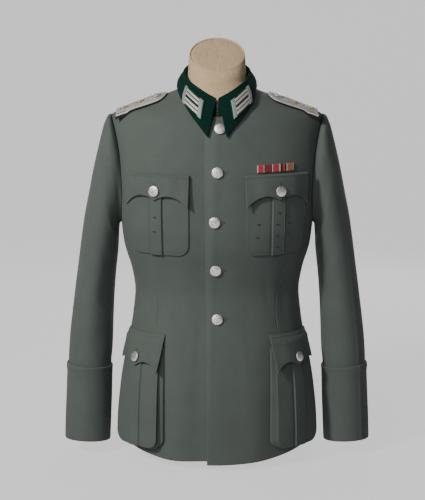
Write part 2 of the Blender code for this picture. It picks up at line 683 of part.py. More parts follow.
def collar_patch(made_collar, side, material):
    """The braided patch near the collar's front end, made from the fall's points."""
    layers = []
    for lift in (PATCH_LIFT + PATCH_WALL, PATCH_LIFT):

        def point(u, v, lift=lift):
            down = mix(*PATCH_DOWN, u) + mix(*PATCH_HEIGHT, u) * v
            place, outward = fall_point(PATCH_START + PATCH_LENGTH * u, down, side)
            return made_collar.under(place, outward, lift, reach=0.01)

        layers.append(grid(8, 4, point))
    name = "left" if side > 0 else "right"
    return wall(f"collar_patch_{name}", *layers, material)


def rounded_bottom(pocket, share):
    """How far up a pocket's lower edge is at a share of its width, with its corners rounded."""
    width = pocket.far - pocket.near
    from_side = min(share, 1 - share) * width
    if from_side >= pocket.corner:
        return 0.0
    return pocket.corner - math.sqrt(max(pocket.corner**2 - (pocket.corner - from_side) ** 2, 0.0))


def pleat_shares(pocket):
    """Shares of the pocket's width for its columns, closer at the corners and on both sides of the pleat."""
    width = pocket.far - pocket.near
    half = pocket.pleat / width / 2
    edge = pocket.corner / width
    step = PLEAT_STEP / width
    flat = 0.5 - half - step
    left = [0.0, edge * 0.07, edge * 0.3, edge]
    left += [mix(edge, flat, 1 / 3), mix(edge, flat, 2 / 3), flat, 0.5 - half]
    return [*left, 0.5, *(1 - s for s in reversed(left))]


def pocket_lift(pocket, share):
    """The pleat's rise over the pocket's face."""
    half = pocket.pleat / (pocket.far - pocket.near) / 2
    return pocket.pleat_rise if abs(share - 0.5) < half + 1e-6 else 0.0


def patch_pocket(tunic, side, pocket, material):
    """A flat patch pocket with a box pleat, on the chest."""
    shares = pleat_shares(pocket)
    rows = 7
    outer, inner = np.zeros((rows, len(shares), 3)), np.zeros((rows, len(shares), 3))
    for j, share in enumerate(shares):
        arc = side * mix(pocket.near, pocket.far, share)
        low = pocket.bottom + rounded_bottom(pocket, share)
        for i in range(rows):
            z = mix(low, pocket.top, i / (rows - 1)) + CHEST_FLAP.tilt * (abs(arc) - pocket.near)
            lift = LAYER + pocket_lift(pocket, share)
            outer[i, j] = tunic.on_body(arc, z, lift + POCKET_WALL)
            inner[i, j] = tunic.on_body(arc, z, lift)
    return wall(f"chest_pocket_{'left' if side > 0 else 'right'}", outer, inner, material)


BELLOWS_CURVE = Curve([z for z, _ in BELLOWS], [out for _, out in BELLOWS])


def bellows(share, z):
    """How far the bellows holds a pocket's face off the skirt at a share of its width."""
    return BELLOWS_CURVE(z) * (1 + BELLOWS_SWELL * share**2)


def bellows_lift(pocket, share, z):
    """How far the pocket's outer face stands off the skirt, with the gusset's sides and foot."""
    return LAYER + POCKET_WALL + bellows(share, z) + pocket_lift(pocket, share)


def skirt_pocket(tunic, side, pocket, material):
    """A bellows pocket: a face with a box pleat, held off the skirt by a gusset round its sides and foot."""
    shares = pleat_shares(pocket)
    rows = 9
    face = np.zeros((rows, len(shares), 3))
    back = np.zeros((rows, len(shares), 3))
    for j, share in enumerate(shares):
        low = pocket.bottom + rounded_bottom(pocket, share)
        for i in range(rows):
            z = mix(low, pocket.top, i / (rows - 1))
            arc = side * mix(pocket.near, pocket.far, share)
            lift = bellows_lift(pocket, share, z)
            face[i, j] = tunic.on_body(arc, z, lift)
            back[i, j] = tunic.on_body(arc, z, lift - POCKET_WALL)
    name = f"skirt_pocket_{'left' if side > 0 else 'right'}"
    return gusseted(name, tunic, side, pocket, shares, face, back, material)


def gusseted(name, tunic, side, pocket, shares, face, back, material):
    """Adds the gusset to a pocket's face: its two sides and its foot go in to the skirt."""
    rows, cols = face.shape[:2]
    width = pocket.far - pocket.near

    def foot(i, j, inwards, lift):
        low = pocket.bottom + rounded_bottom(pocket, shares[j])
        z = mix(low, pocket.top, i / (rows - 1))
        share = shares[j]
        if j in (0, cols - 1):
            share += (inwards if j == 0 else -inwards) / width
        if i == 0:
            z += inwards * GUSSET_RISE if inwards < 0 else inwards
        return tunic.on_body(side * mix(pocket.near, pocket.far, share), z, lift)

    ring = [(i, 0) for i in range(rows - 1, 0, -1)] + [(0, j) for j in range(cols)]
    ring += [(i, cols - 1) for i in range(1, rows)]
    mesh = bpy.data.meshes.new(name)
    bm = bmesh.new()
    out = [[bm.verts.new(p) for p in row] for row in face]
    ins = [[None] * cols for _ in range(rows)]
    for i in range(rows):
        for j in range(cols):
            if (i, j) in ring:
                height = mix(pocket.bottom, pocket.top, i / (rows - 1))
                lift = bellows_lift(pocket, shares[j], height) - POCKET_WALL
                ins[i][j] = bm.verts.new(foot(i, j, POCKET_WALL, lift))
            else:
                ins[i][j] = bm.verts.new(back[i][j])
    for i in range(rows - 1):
        for j in range(cols - 1):
            bm.faces.new((out[i][j], out[i][j + 1], out[i + 1][j + 1], out[i + 1][j]))
            bm.faces.new((ins[i][j], ins[i + 1][j], ins[i + 1][j + 1], ins[i][j + 1]))
    outside = {(i, j): bm.verts.new(foot(i, j, -GUSSET_SLANT, LAYER)) for i, j in ring}
    inside = {(i, j): bm.verts.new(foot(i, j, POCKET_WALL - GUSSET_SLANT, LAYER)) for i, j in ring}
    for (a, b), (c, d) in zip(ring, ring[1:]):
        bm.faces.new((out[a][b], out[c][d], outside[c, d], outside[a, b]))
        bm.faces.new((outside[a, b], outside[c, d], inside[c, d], inside[a, b]))
        bm.faces.new((inside[a, b], inside[c, d], ins[c][d], ins[a][b]))
    for j in range(cols - 1):
        bm.faces.new((out[-1][j], out[-1][j + 1], ins[-1][j + 1], ins[-1][j]))
    for a, b in ((ring[0]), (ring[-1])):
        bm.faces.new((out[a][b], ins[a][b], inside[a, b], outside[a, b]))
    return finish(name, mesh, bm, material)


def flap_edge(flap, share):
    """How far a flap's edge is below its top: two arches between its corners and a middle point."""
    from_middle = abs(share - 0.5) * 2
    arch = math.sin(math.pi * min(from_middle, 1.0)) ** ARCH_ROUNDNESS
    corner_drop = flap.corner_drop if share < 0.5 else flap.far_drop
    straight = mix(flap.point_drop, corner_drop, from_middle)
    return straight - arch * (mix(flap.point_drop, corner_drop, 0.5) - flap.scallop_drop)


def flap_point(tunic, side, flap, share, drop, lift):
    """A point of a flap at a share of its width and a drop from its top edge."""
    slant = flap.slant * drop / flap.corner_drop
    lift += flap.stand_off * (1 - share) ** 2 * (drop / flap.corner_drop) ** 2
    arc = mix(flap.near, flap.far, share) + slant * (1 - share)
    z = flap.top - drop + flap.tilt * (arc - flap.near)
    return tunic.on_body(side * arc, z, lift)


def pocket_flap(name, tunic, side, flap, lift_at, material):
    """A pocket's flap, sewn on at its top; lift_at says how far its underside stands off at a place."""
    layers = []
    for wall_lift in (FLAP_WALL, 0.0):
        def point(u, v, wall_lift=wall_lift):
            drop = flap_edge(flap, u) * FLAP_DROPS[v]
            return flap_point(tunic, side, flap, u, drop, lift_at(u, drop) + wall_lift)
        layers.append(np.array([
            [point(j / (FLAP_COLUMNS - 1), i) for j in range(FLAP_COLUMNS)] for i in range(len(FLAP_DROPS))
        ]))
    return wall(name, *layers, material)


def over_pleat(share):
    """How much of a pleat's rise its flap has at a share of its width: it settles beside the pleat."""
    return 1 - smooth((abs(share - 0.5) - PLEAT_REACH) / PLEAT_FADE)


def chest_flap_lift(share, drop):
    """The chest flap's underside: sewn to the chest at the top, then over the pocket and its pleat."""
    over_pocket = LAYER + POCKET_WALL + CHEST_POCKET.pleat_rise * over_pleat(share) + 2 * LAYER
    return mix(LAYER, over_pocket, smooth(drop / CHEST_FLAP_TURN))


def skirt_flap_lift(share, drop):
    """The skirt flap's underside: sewn to the skirt at the top, then over the bellows and its pleat."""
    z = min(SKIRT_FLAP.top - drop, SKIRT_POCKET.top)
    over_pocket = LAYER + POCKET_WALL + bellows(share, z) + SKIRT_POCKET.pleat_rise * over_pleat(share)
    return mix(LAYER, over_pocket + 2 * LAYER, smooth(drop / SKIRT_FLAP_TURN))


def turned(name, profile, place, outward, material, around=12):
    """A turned piece: a profile of radius and height, stood on a place along an outward direction."""
    mesh = bpy.data.meshes.new(name)
    bm = bmesh.new()
    turn = Vector((0, 0, 1)).rotation_difference(outward)
    at = lambda p: turn @ Vector(p) + place
    low = bm.verts.new(at((0, 0, profile[0][1])))
    high = bm.verts.new(at((0, 0, profile[-1][1])))
    rings = []
    for radius, height in profile[1:-1]:
        angles = [2 * math.pi * k / around for k in range(around)]
        rings.append([bm.verts.new(at((radius * math.cos(a), radius * math.sin(a), height))) for a in angles])
    for k in range(around):
        n = (k + 1) % around
        bm.faces.new((low, rings[0][n], rings[0][k]))
        bm.faces.new((high, rings[-1][k], rings[-1][n]))
        for lower, upper in zip(rings, rings[1:]):
            bm.faces.new((lower[k], lower[n], upper[n], upper[k]))
    return finish(name, mesh, bm, material, sharp=50)


def button(name, size, place, outward, material):
    """A domed metal button on its shank, just clear of the cloth."""
    rim, shank = size.shank, size.radius * 0.42
    profile = (
        (0, 0), (shank, 0), (shank, rim), (size.radius, rim), (size.radius * 0.96, rim + size.dome * 0.38),
        (size.radius * 0.62, rim + size.dome * 0.86), (0, rim + size.dome),
    )
    return turned(name, profile, place + outward * SEAM, outward, material)


def face_frame(point_at, step=0.002):
    """The outward direction of a face that a function of arc and height gives."""
    across, up = point_at(step, 0) - point_at(-step, 0), point_at(0, step) - point_at(0, -step)
    return across.cross(up).normalized()


def front_buttons(tunic, metal):
    for k, (x, z) in enumerate(FRONT_BUTTON_PLACES):
        face = lambda a, b: tunic.on_body(x + a, z + b)
        button(f"front_button_{k + 1}", FRONT_BUTTON, face(0, 0), face_frame(face), metal)


def flap_button(name, tunic, side, flap, lift_at, metal):
    """The button that closes a pocket's flap, in the middle above its point."""
    drop = flap.point_drop - BUTTON_RISE

    def face(a, b):
        share = 0.5 + side * a / (flap.far - flap.near)
        return flap_point(tunic, side, flap, share, drop - b, lift_at(share, drop - b) + FLAP_WALL)

    place = face(0, 0)
    outward = face_frame(face)
    button(name, POCKET_BUTTON, place, outward, metal)


def board_height(x, y):
    """The underside of a shoulder board over a point of the plan: it follows the shoulder, but not its tip."""
    share = (BOARD_OUTER - x) / (BOARD_OUTER - BOARD_INNER)
    bridge = BOARD_RISE * math.sin(math.pi * min(max(share, 0), 1))
    bent_at = min(x, BOARD_BENT_TO)
    seat = shoulder_height(x, 0.0) + shoulder_height(bent_at, y) - shoulder_height(bent_at, 0.0)
    return seat + BOARD_LIFT + bridge


def shoulder_board(side, material):
    """A stiff board from the sleeve's seam towards the neck, with a round inner end."""
    half, rows, cols = BOARD_WIDTH / 2, 12, 7
    length = BOARD_OUTER - BOARD_INNER
    stops = [0, 0.10, 0.22, 0.34, 0.46, 0.58, 0.70, 0.79, 0.87, 0.93, 0.97, 0.995]
    layers = []
    for lift in (BOARD_WALL, 0.0):
        points = np.zeros((rows, cols, 3))
        for i, stop in enumerate(stops):
            x = BOARD_OUTER - length * stop
            into_end = max(0.0, (BOARD_INNER + half - x) / half)
            width = half * math.sqrt(max(1 - into_end**2, 0.0))
            for j in range(cols):
                y = BOARD_MIDDLE_Y + width * (2 * j / (cols - 1) - 1)
                points[i, j] = (side * x, y, board_height(x, y) + lift)
        layers.append(points)
    return wall(f"shoulder_board_{'left' if side > 0 else 'right'}", *layers, material)


def board_face(side, x):
    """The board's upper face at a place on its centre line, and its outward direction."""

    def at(a, b):
        y = BOARD_MIDDLE_Y + b
        return Vector((side * (x + a), y, board_height(x + a, y) + BOARD_WALL))

    across, along = at(0.004, 0) - at(-0.004, 0), at(0, 0.006) - at(0, -0.006)
    outward = across.cross(along).normalized()
    return at(0, 0), outward if outward.z > 0 else -outward


def star(name, place, outward, material):
    """A four-pointed star with a raised middle."""
    mesh = bpy.data.meshes.new(name)
    bm = bmesh.new()
    turn = Vector((0, 0, 1)).rotation_difference(outward)
    at = lambda x, y, z: turn @ Vector((x, y, z)) + place
    top = bm.verts.new(at(0, 0, STAR_HEIGHT))
    low = bm.verts.new(at(0, 0, 0.0))
    base, rim = [], []
    for k in range(8):
        radius = STAR_RADIUS if k % 2 == 0 else STAR_WAIST
        x, y = radius * math.cos(k * math.pi / 4), radius * math.sin(k * math.pi / 4)
        base.append(bm.verts.new(at(x, y, 0.0)))
        rim.append(bm.verts.new(at(x, y, STAR_RIM)))
    for k in range(8):
        n = (k + 1) % 8
        bm.faces.new((low, base[n], base[k]))
        bm.faces.new((base[k], base[n], rim[n], rim[k]))
        bm.faces.new((rim[k], rim[n], top))
    return finish(name, mesh, bm, material, sharp=15)


def board_trim(side, gold, metal):
    """The board's two stars, and the button at its inner end."""
    name = "left" if side > 0 else "right"
    for k, x in enumerate(STARS):
        place, outward = board_face(side, x)
        star(f"star_{name}_{k + 1}", place + outward * STAR_GAP, outward, gold)
    place, outward = board_face(side, BOARD_BUTTON_X)
    button(f"board_button_{name}", BOARD_BUTTON, place + outward * SEAM, outward, metal)


def ribbon_bar(tunic, material):
    """The medal ribbon bar on the left breast."""

    def point(u, v, lift):
        z = mix(RIBBON_LOW, RIBBON_HIGH, v) + RIBBON_TILT * u
        return tunic.on_body(mix(RIBBON_NEAR, RIBBON_FAR, u), z, lift)

    lifts = (RIBBON_LIFT + RIBBON_WALL, RIBBON_LIFT)
    layers = [grid(9, 3, lambda u, v, lift=lift: point(u, v, lift)) for lift in lifts]
    return wall("ribbon_bar", *layers, material)


def form_ring(z):
    """A ring of the dress form, inside the cloth, with its arm plates flat."""
    points = []
    inset = INSET(z)
    for k in range(FORM_AROUND):
        angle = 2 * math.pi * (k + 0.5) / FORM_AROUND
        signed = angle if angle <= math.pi else angle - 2 * math.pi
        outward = normal_at(signed, z)
        p = plain_ring_point(signed, z)
        outward.z *= smooth((z - 0.62) / 0.05)
        p -= outward.normalized() * inset
        p.x = min(max(p.x, -FORM_ARM_PLATE), FORM_ARM_PLATE)
        points.append(p)
    return points


def neck_ring(share):
    """A ring of the form's neck, from its root up to the slanting cap."""
    at = share * (len(NECK_SECTIONS) - 1)
    i = min(int(at), len(NECK_SECTIONS) - 2)
    half_width, half_depth = (mix(NECK_SECTIONS[i][k], NECK_SECTIONS[i + 1][k], at - i) for k in (0, 1))
    base = FORM_LEVELS[-1] + 0.014
    cap_depth = NECK_SECTIONS[-1][1]
    points = []
    for k in range(FORM_AROUND):
        angle = 2 * math.pi * (k + 0.5) / FORM_AROUND
        x, y = half_width * math.sin(angle), -half_depth * math.cos(angle)
        cap = NECK_CAP_Z + math.tan(NECK_CAP_TILT) * y * cap_depth / half_depth
        points.append(Vector((x, y, mix(base, cap, share))))
    return points


def dress_form(material):
    """A smooth torso with a neck, flat underneath, that stands in the tunic."""
    rings = [form_ring(z) for z in FORM_LEVELS] + [neck_ring(k / 5) for k in range(6)]
    mesh = bpy.data.meshes.new("dress_form")
    bm = bmesh.new()
    made = [[bm.verts.new(p) for p in ring] for ring in rings]
    for lower, upper in zip(made, made[1:]):
        for k in range(FORM_AROUND):
            n = (k + 1) % FORM_AROUND
            bm.faces.new((lower[k], lower[n], upper[n], upper[k]))
    bm.faces.new(reversed(made[0]))
    bm.faces.new(made[-1])
    return finish("dress_form", mesh, bm, material, sharp=35)


def material(name, colour, roughness, metallic=0.0):
    """A Principled material; colour is linear."""
    made = bpy.data.materials.new(name)
    made.use_nodes = True
    shader = made.node_tree.nodes["Principled BSDF"]
    shader.inputs["Base Color"].default_value = (*colour, 1)
    shader.inputs["Roughness"].default_value = roughness
    shader.inputs["Metallic"].default_value = metallic
    return made


def build():
    for old in list(bpy.data.objects):
        bpy.data.objects.remove(old)
    cloth = material("field_cloth", (0.090, 0.110, 0.098), 0.85)
    badge_cloth = material("collar_cloth", (0.006, 0.040, 0.028), 0.9)
    silver_lace = material("silver_lace", (0.55, 0.54, 0.51), 0.5, 0.4)
    silver = material("silver_metal", (0.68, 0.66, 0.64), 0.38, 0.9)
    gold = material("gilt_metal", (0.75, 0.55, 0.18), 0.3, 0.9)
    ribbon = material("ribbon", (0.45, 0.05, 0.05), 0.7)
    linen = material("linen", (0.56, 0.46, 0.34), 0.9)

    dress_form(linen)
    front, back = front_boundaries(True), back_boundaries()
    panels = [
        body_panel("front_left", front, 1, cloth, lambda x: front_lap(x, True)),
        body_panel("front_right", front_boundaries(False), -1, cloth, lambda x: front_lap(x, False)),
        body_panel("back_left", back, 1, cloth),
        body_panel("back_right", back, -1, cloth),
    ]
    tunic, made_collar = Cloth(panels), Cloth([collar(badge_cloth)])
    for side, name in ((1, "left"), (-1, "right")):
        sleeve(side, cloth)
        patch_pocket(tunic, side, CHEST_POCKET, cloth)
        skirt_pocket(tunic, side, SKIRT_POCKET, cloth)
        pocket_flap(f"chest_flap_{name}", tunic, side, CHEST_FLAP, chest_flap_lift, cloth)
        pocket_flap(f"skirt_flap_{name}", tunic, side, SKIRT_FLAP, skirt_flap_lift, cloth)
        flap_button(f"chest_button_{name}", tunic, side, CHEST_FLAP, chest_flap_lift, silver)
        flap_button(f"skirt_button_{name}", tunic, side, SKIRT_FLAP, skirt_flap_lift, silver)
        collar_patch(made_collar, side, silver_lace)
        shoulder_board(side, silver_lace)
        board_trim(side, gold, silver)
    front_buttons(tunic, silver)
    ribbon_bar(tunic, ribbon)
    for piece in bpy.data.objects:
        piece.data.transform(Matrix.Translation((0, -MIDDLE_Y, 0)))


build()
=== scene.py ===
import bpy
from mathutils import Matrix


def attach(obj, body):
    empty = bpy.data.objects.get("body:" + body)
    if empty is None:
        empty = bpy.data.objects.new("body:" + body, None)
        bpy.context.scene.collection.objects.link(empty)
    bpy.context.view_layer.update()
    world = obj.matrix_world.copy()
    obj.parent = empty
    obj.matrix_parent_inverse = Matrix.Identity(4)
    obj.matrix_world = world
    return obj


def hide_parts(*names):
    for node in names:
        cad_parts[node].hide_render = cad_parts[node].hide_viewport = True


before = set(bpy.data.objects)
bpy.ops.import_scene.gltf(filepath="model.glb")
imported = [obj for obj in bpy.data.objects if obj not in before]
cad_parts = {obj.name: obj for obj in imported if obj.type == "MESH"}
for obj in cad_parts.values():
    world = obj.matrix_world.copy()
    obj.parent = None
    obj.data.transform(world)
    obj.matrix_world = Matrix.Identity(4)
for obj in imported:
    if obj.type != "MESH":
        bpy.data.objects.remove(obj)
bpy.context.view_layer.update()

# Looks of a military tunic on a dress form. Metres, +Z up, the tunic faces -Y and its wearer's left is +X.
# The torso is a stack of rings; every piece that lies on it is made from the rings' points, moved out.

import math
from collections import namedtuple

import bpy
import numpy as np

SHIFT_Y = 0.00712  # the rings' own axis lies this far behind the frame's origin

# Cloth and seams
WALL, SLEEVE_WALL, POCKET_WALL, FLAP_WALL, COLLAR_WALL = 0.0020, 0.0017, 0.0017, 0.0018, 0.0021
SEAM, LAYER = 0.0003, 0.0011  # gaps: between sewn pieces, and under a pocket or flap

# The torso's rings: half width, depth in front and behind, and how square the ring is
Ring = namedtuple("Ring", "z half_width front back square")
TORSO = (
    Ring(0.000, 0.1960, 0.154, 0.141, 2.10),
    Ring(0.060, 0.1950, 0.151, 0.139, 2.10),
    Ring(0.137, 0.1912, 0.146, 0.136, 2.12),
    Ring(0.189, 0.1870, 0.138, 0.131, 2.15),
    Ring(0.240, 0.1810, 0.128, 0.121, 2.18),
    Ring(0.291, 0.1727, 0.117, 0.108, 2.20),
    Ring(0.341, 0.1680, 0.112, 0.101, 2.22),
    Ring(0.391, 0.1752, 0.119, 0.105, 2.28),
    Ring(0.441, 0.1895, 0.129, 0.112, 2.34),
    Ring(0.478, 0.1935, 0.132, 0.116, 2.46),
    Ring(0.560, 0.2010, 0.129, 0.119, 2.46),
    Ring(0.620, 0.2065, 0.120, 0.116, 2.20),
    Ring(0.660, 0.2110, 0.109, 0.107, 2.00),
    Ring(0.688, 0.2130, 0.098, 0.096, 1.84),
    Ring(0.697, 0.2090, 0.093, 0.090, 1.80),
    Ring(0.709, 0.1766, 0.085, 0.084, 1.76),
    Ring(0.721, 0.1442, 0.0775, 0.077, 1.75),
    Ring(0.733, 0.1117, 0.070, 0.070, 1.78),
    Ring(0.745, 0.0793, 0.063, 0.064, 1.86),
    Ring(0.752, 0.0670, 0.0605, 0.062, 1.94),
    Ring(0.765, 0.0600, 0.0580, 0.060, 2.00),
)

# Soft folds and creases: where each is round the body and up it, its reach, its lean and its height
Fold = namedtuple("Fold", "angle z half_angle half_height lean out")
FOLDS = (
    Fold(22, 0.11, 9, 0.15, 0.0, 0.0030),
    Fold(-24, 0.10, 9, 0.15, 0.0, 0.0032),
    Fold(9, 0.09, 7, 0.13, 0.0, -0.0016),
    Fold(-11, 0.10, 7, 0.13, 0.0, -0.0018),
    Fold(50, 0.34, 7, 0.07, 0.0, -0.0022),
    Fold(-50, 0.34, 7, 0.07, 0.0, -0.0022),
    Fold(124, 0.13, 11, 0.16, 0.0, 0.0045),
    Fold(-124, 0.13, 11, 0.16, 0.0, 0.0045),
    Fold(150, 0.12, 10, 0.16, 0.0, -0.0030),
    Fold(-150, 0.12, 10, 0.16, 0.0, -0.0030),
    Fold(128, 0.50, 9, 0.09, -60.0, -0.0030),
    Fold(-128, 0.50, 9, 0.09, 60.0, -0.0030),
)
CREASES = (
    Fold(-61, 0.560, 3.2, 0.075, 55, 0.0014),
    Fold(-68, 0.530, 3.0, 0.060, 70, -0.0016),
    Fold(63, 0.565, 3.4, 0.070, -60, 0.0013),
    Fold(70, 0.525, 2.8, 0.062, -75, -0.0015),
    Fold(-36, 0.335, 2.6, 0.036, 90, -0.0010),
    Fold(-30, 0.310, 2.2, 0.030, 70, 0.0008),
    Fold(33, 0.345, 2.6, 0.040, -95, -0.0010),
    Fold(-14, 0.240, 2.2, 0.055, 20, 0.0008),
    Fold(15, 0.225, 2.4, 0.060, -25, 0.0009),
    Fold(-5, 0.640, 2.6, 0.030, 120, -0.0009),
    Fold(13, 0.640, 3.0, 0.034, -150, 0.0008),
    Fold(78, 0.355, 4.0, 0.018, -260, -0.0012),
    Fold(-80, 0.350, 4.0, 0.018, 250, -0.0013),
    Fold(-86, 0.405, 3.6, 0.020, 180, 0.0010),
    Fold(88, 0.400, 3.8, 0.022, -190, 0.0010),
    Fold(176, 0.365, 6.0, 0.016, 340, -0.0013),
    Fold(-168, 0.330, 6.5, 0.015, -300, -0.0012),
    Fold(158, 0.318, 5.5, 0.014, -320, 0.0010),
    Fold(108, 0.575, 3.0, 0.080, -55, 0.0015),
    Fold(-110, 0.570, 3.2, 0.076, 58, 0.0015),
    Fold(171, 0.130, 3.4, 0.120, 8, 0.0015),
    Fold(-164, 0.120, 3.2, 0.110, -12, -0.0013),
    Fold(104, 0.180, 3.6, 0.090, 14, -0.0014),
    Fold(-101, 0.170, 3.4, 0.100, -10, -0.0013),
)

# Hem, fronts and armholes
HEM_FRONT, HEM_SIDE, HEM_BACK = 0.0135, 0.036, 0.033
UNDER_FRONT_RISE = 0.0075  # the covered front hangs this much shorter
FRONT_EDGE_LOW, FRONT_EDGE_HIGH = 0.0200, 0.0255  # past centre front, at hem and neck
FRONT_LAP, LAP_FADE, LAP_REACH = 0.0015, 0.040, 0.027
COVERED_SHARE = 0.7  # the covered front reaches this share as far
NECK_PIT = 0.688
UNDERARM, SHOULDER_TIP = 0.478, 0.697
ARMHOLE_FRONT, ARMHOLE_BACK = math.radians(22), math.radians(24)
NECK_HOLE = (0.0765, 0.0985, 0.0625)
# The shares at which a panel's side passes the underarm, and its top the neck point
SKIRT_SHARE, NECK_SHARE = 10 / 22, 7 / 12

# The sleeve's rings from the armhole down: each one's outer and inner side, half its depth, where its middle
# lies and how far it is scooped out
Sleeve = namedtuple("Sleeve", "outer_x outer_z inner_x inner_z half_depth middle_y scoop")
SLEEVE = (
    Sleeve(0.2185, 0.6925, 0.1985, 0.4745, 0.0615, 0.000, 0.0095),
    Sleeve(0.2258, 0.6800, 0.2000, 0.4660, 0.0650, 0.000, 0.0060),
    Sleeve(0.2405, 0.6270, 0.2014, 0.4430, 0.0680, 0.002, 0.0010),
    Sleeve(0.2500, 0.5880, 0.2022, 0.4250, 0.0675, 0.003, 0.0000),
    Sleeve(0.2602, 0.5395, 0.2046, 0.4010, 0.0655, 0.004, 0.0000),
    Sleeve(0.2705, 0.4905, 0.2080, 0.3720, 0.0630, 0.005, 0.0000),
    Sleeve(0.2850, 0.3910, 0.2126, 0.3120, 0.0580, 0.004, 0.0000),
    Sleeve(0.2918, 0.3413, 0.2140, 0.2800, 0.0555, 0.002, 0.0000),
    Sleeve(0.3040, 0.2401, 0.2163, 0.2160, 0.0495, -0.005, 0.0000),
    Sleeve(0.3062, 0.2035, 0.2185, 0.1930, 0.0470, -0.009, 0.0000),
    Sleeve(0.3065, 0.1890, 0.2190, 0.1815, 0.0462, -0.010, 0.0000),
    Sleeve(0.3090, 0.1300, 0.2205, 0.1240, 0.0432, -0.014, 0.0000),
    Sleeve(0.3115, 0.0770, 0.2225, 0.0720, 0.0405, -0.018, 0.0000),
    Sleeve(0.3130, 0.0305, 0.2245, 0.0260, 0.0385, -0.021, 0.0000),
)
CUFF_FIRST = 11  # the cuff's top is at this ring, counted from the armhole's
CUFF_LIFT, CUFF_GAP, CUFF_TILT = 0.0022, 0.0006, 0.09
CUFF_FLARE, CUFF_FLARE_REACH = 0.0007, 0.010  # how far its top edge stands out
# Down the cuff, all in rings: its length, about the step between its points, and its points near both ends
CUFF_RINGS, CUFF_SPACING, CUFF_STEPS = 3.0, 0.085, (0.012, 0.03, 0.055, 0.09, 0.13)
CUFF_STITCH, CUFF_STITCH_AT = 0.0065, (0.1130, 0.1230)  # its stitching, in metres below its top and in rings
# Creases of a sleeve: ring, turn in degrees, how many rings and degrees each reaches, its lean and its height
SleeveCrease = namedtuple("SleeveCrease", "ring turn rings degrees lean out")
SLEEVE_CREASES = (
    SleeveCrease(7.0, 235, 1.2, 22, 0, -0.0035),
    SleeveCrease(6.3, 246, 0.30, 26, 10, 0.0016),
    SleeveCrease(7.9, 226, 0.32, 24, -9, 0.0015),
    SleeveCrease(8.7, 240, 0.30, 20, 12, -0.0012),
    SleeveCrease(2.6, 214, 0.55, 24, 9, -0.0022),
    SleeveCrease(3.5, 226, 0.40, 22, 12, 0.0014),
    SleeveCrease(1.9, 300, 0.70, 7, 0, 0.0010),
    SleeveCrease(2.1, 322, 0.60, 6, 3, -0.0010),
    SleeveCrease(2.8, 120, 0.60, 22, -8, -0.0018),
    SleeveCrease(4.3, 134, 0.50, 20, -9, 0.0012),
    SleeveCrease(6.6, 92, 0.45, 24, -8, -0.0014),
    SleeveCrease(8.1, 66, 0.40, 22, 9, 0.0012),
    SleeveCrease(5.2, 342, 1.60, 9, 2, -0.0010),
    SleeveCrease(4.4, 20, 1.80, 10, -2, 0.0012),
)
PRESSED_TURN, PRESSED_RISE, PRESSED_DEGREES = 306, 0.0013, 3.2  # the crease ironed down the sleeve
BACK_SEAM_TURN, BACK_SEAM_DEPTH, BACK_SEAM_DEGREES = 62, 0.0007, 1.3  # the hind arm seam

Collar = namedtuple("Collar", "angle fold_x fold_y fold_z edge_x edge_y edge_z")
COLLAR = (
    Collar(1.2, 0.0016, -0.0905, 0.7260, 0.0185, -0.1185, 0.6520),
    Collar(25, 0.0265, -0.0815, 0.7400, 0.0370, -0.1100, 0.6760),
    Collar(45, 0.0455, -0.0640, 0.7530, 0.0560, -0.0955, 0.7010),
    Collar(67, 0.0590, -0.0350, 0.7640, 0.0725, -0.0640, 0.7275),
    Collar(90, 0.0650, 0.0010, 0.7810, 0.0805, -0.0060, 0.7485),
    Collar(125, 0.0540, 0.0380, 0.7960, 0.0750, 0.0520, 0.7370),
    Collar(155, 0.0270, 0.0570, 0.8040, 0.0370, 0.0745, 0.7350),
    Collar(180, 0.0000, 0.0620, 0.8060, 0.0000, 0.0800, 0.7350),
)
# The radius of the collar's fold, and how far the fall swells out and up
COLLAR_FOLD, COLLAR_BULGE = 0.0034, (0.0030, 0.0010)
STAND_HOLE = (0.0752, 0.0966, 0.0610)

# The dress form, and its neck with a slanting cap
FORM_INSET = (
    (0.000, 0.080), (0.006, 0.074), (0.050, 0.058), (0.110, 0.040), (0.180, 0.022), (0.260, 0.0115),
    (0.340, 0.0090), (0.440, 0.0110), (0.560, 0.0110), (0.620, 0.0090), (0.660, 0.0080), (0.690, 0.0068),
    (0.709, 0.0058), (0.733, 0.0050), (0.745, 0.0050), (0.765, 0.0055),
)
FORM_TOP = 0.745
FORM_ARM_PLATE = 0.1960
NECK_SECTIONS = ((0.0600, 0.0560), (0.0585, 0.0540), (0.0570, 0.0500), (0.0555, 0.0445))
NECK_CAP_Z, NECK_CAP_TILT = 0.8120, math.radians(38.7)


class Curve:
    """A smooth curve through a table's rows, which doesn't overshoot them. A row may be an array."""

    def __init__(self, at, values):
        self.at, self.values = np.array(at, float), np.array(values, float)
        step = np.diff(self.at)
        shape = (-1,) + (1,) * (self.values.ndim - 1)
        rise = np.diff(self.values, axis=0) / step.reshape(shape)
        before = (2 * step[1:] + step[:-1]).reshape(shape)
        after = (step[1:] + 2 * step[:-1]).reshape(shape)
        goes_on = rise[:-1] * rise[1:] > 0
        first, second = np.where(goes_on, rise[:-1], 1.0), np.where(goes_on, rise[1:], 1.0)
        self.slopes = np.concatenate([rise[:1], np.zeros_like(rise[1:]), rise[-1:]])
        self.slopes[1:-1] = np.where(goes_on, (before + after) / (before / first + after / second), 0.0)

    def __call__(self, x):
        x = np.clip(np.asarray(x, float), self.at[0], self.at[-1])
        i = np.clip(np.searchsorted(self.at, x, side="right") - 1, 0, len(self.at) - 2)
        width = self.at[i + 1] - self.at[i]
        u = (x - self.at[i]) / width
        spread = (...,) + (None,) * (self.values.ndim - 1)
        u, width = u[spread], width[spread]
        ends = self.values[i] * (1 + 2 * u) * (1 - u) ** 2 + self.values[i + 1] * u * u * (3 - 2 * u)
        return ends + width * (self.slopes[i] * u * (1 - u) ** 2 + self.slopes[i + 1] * u * u * (u - 1))


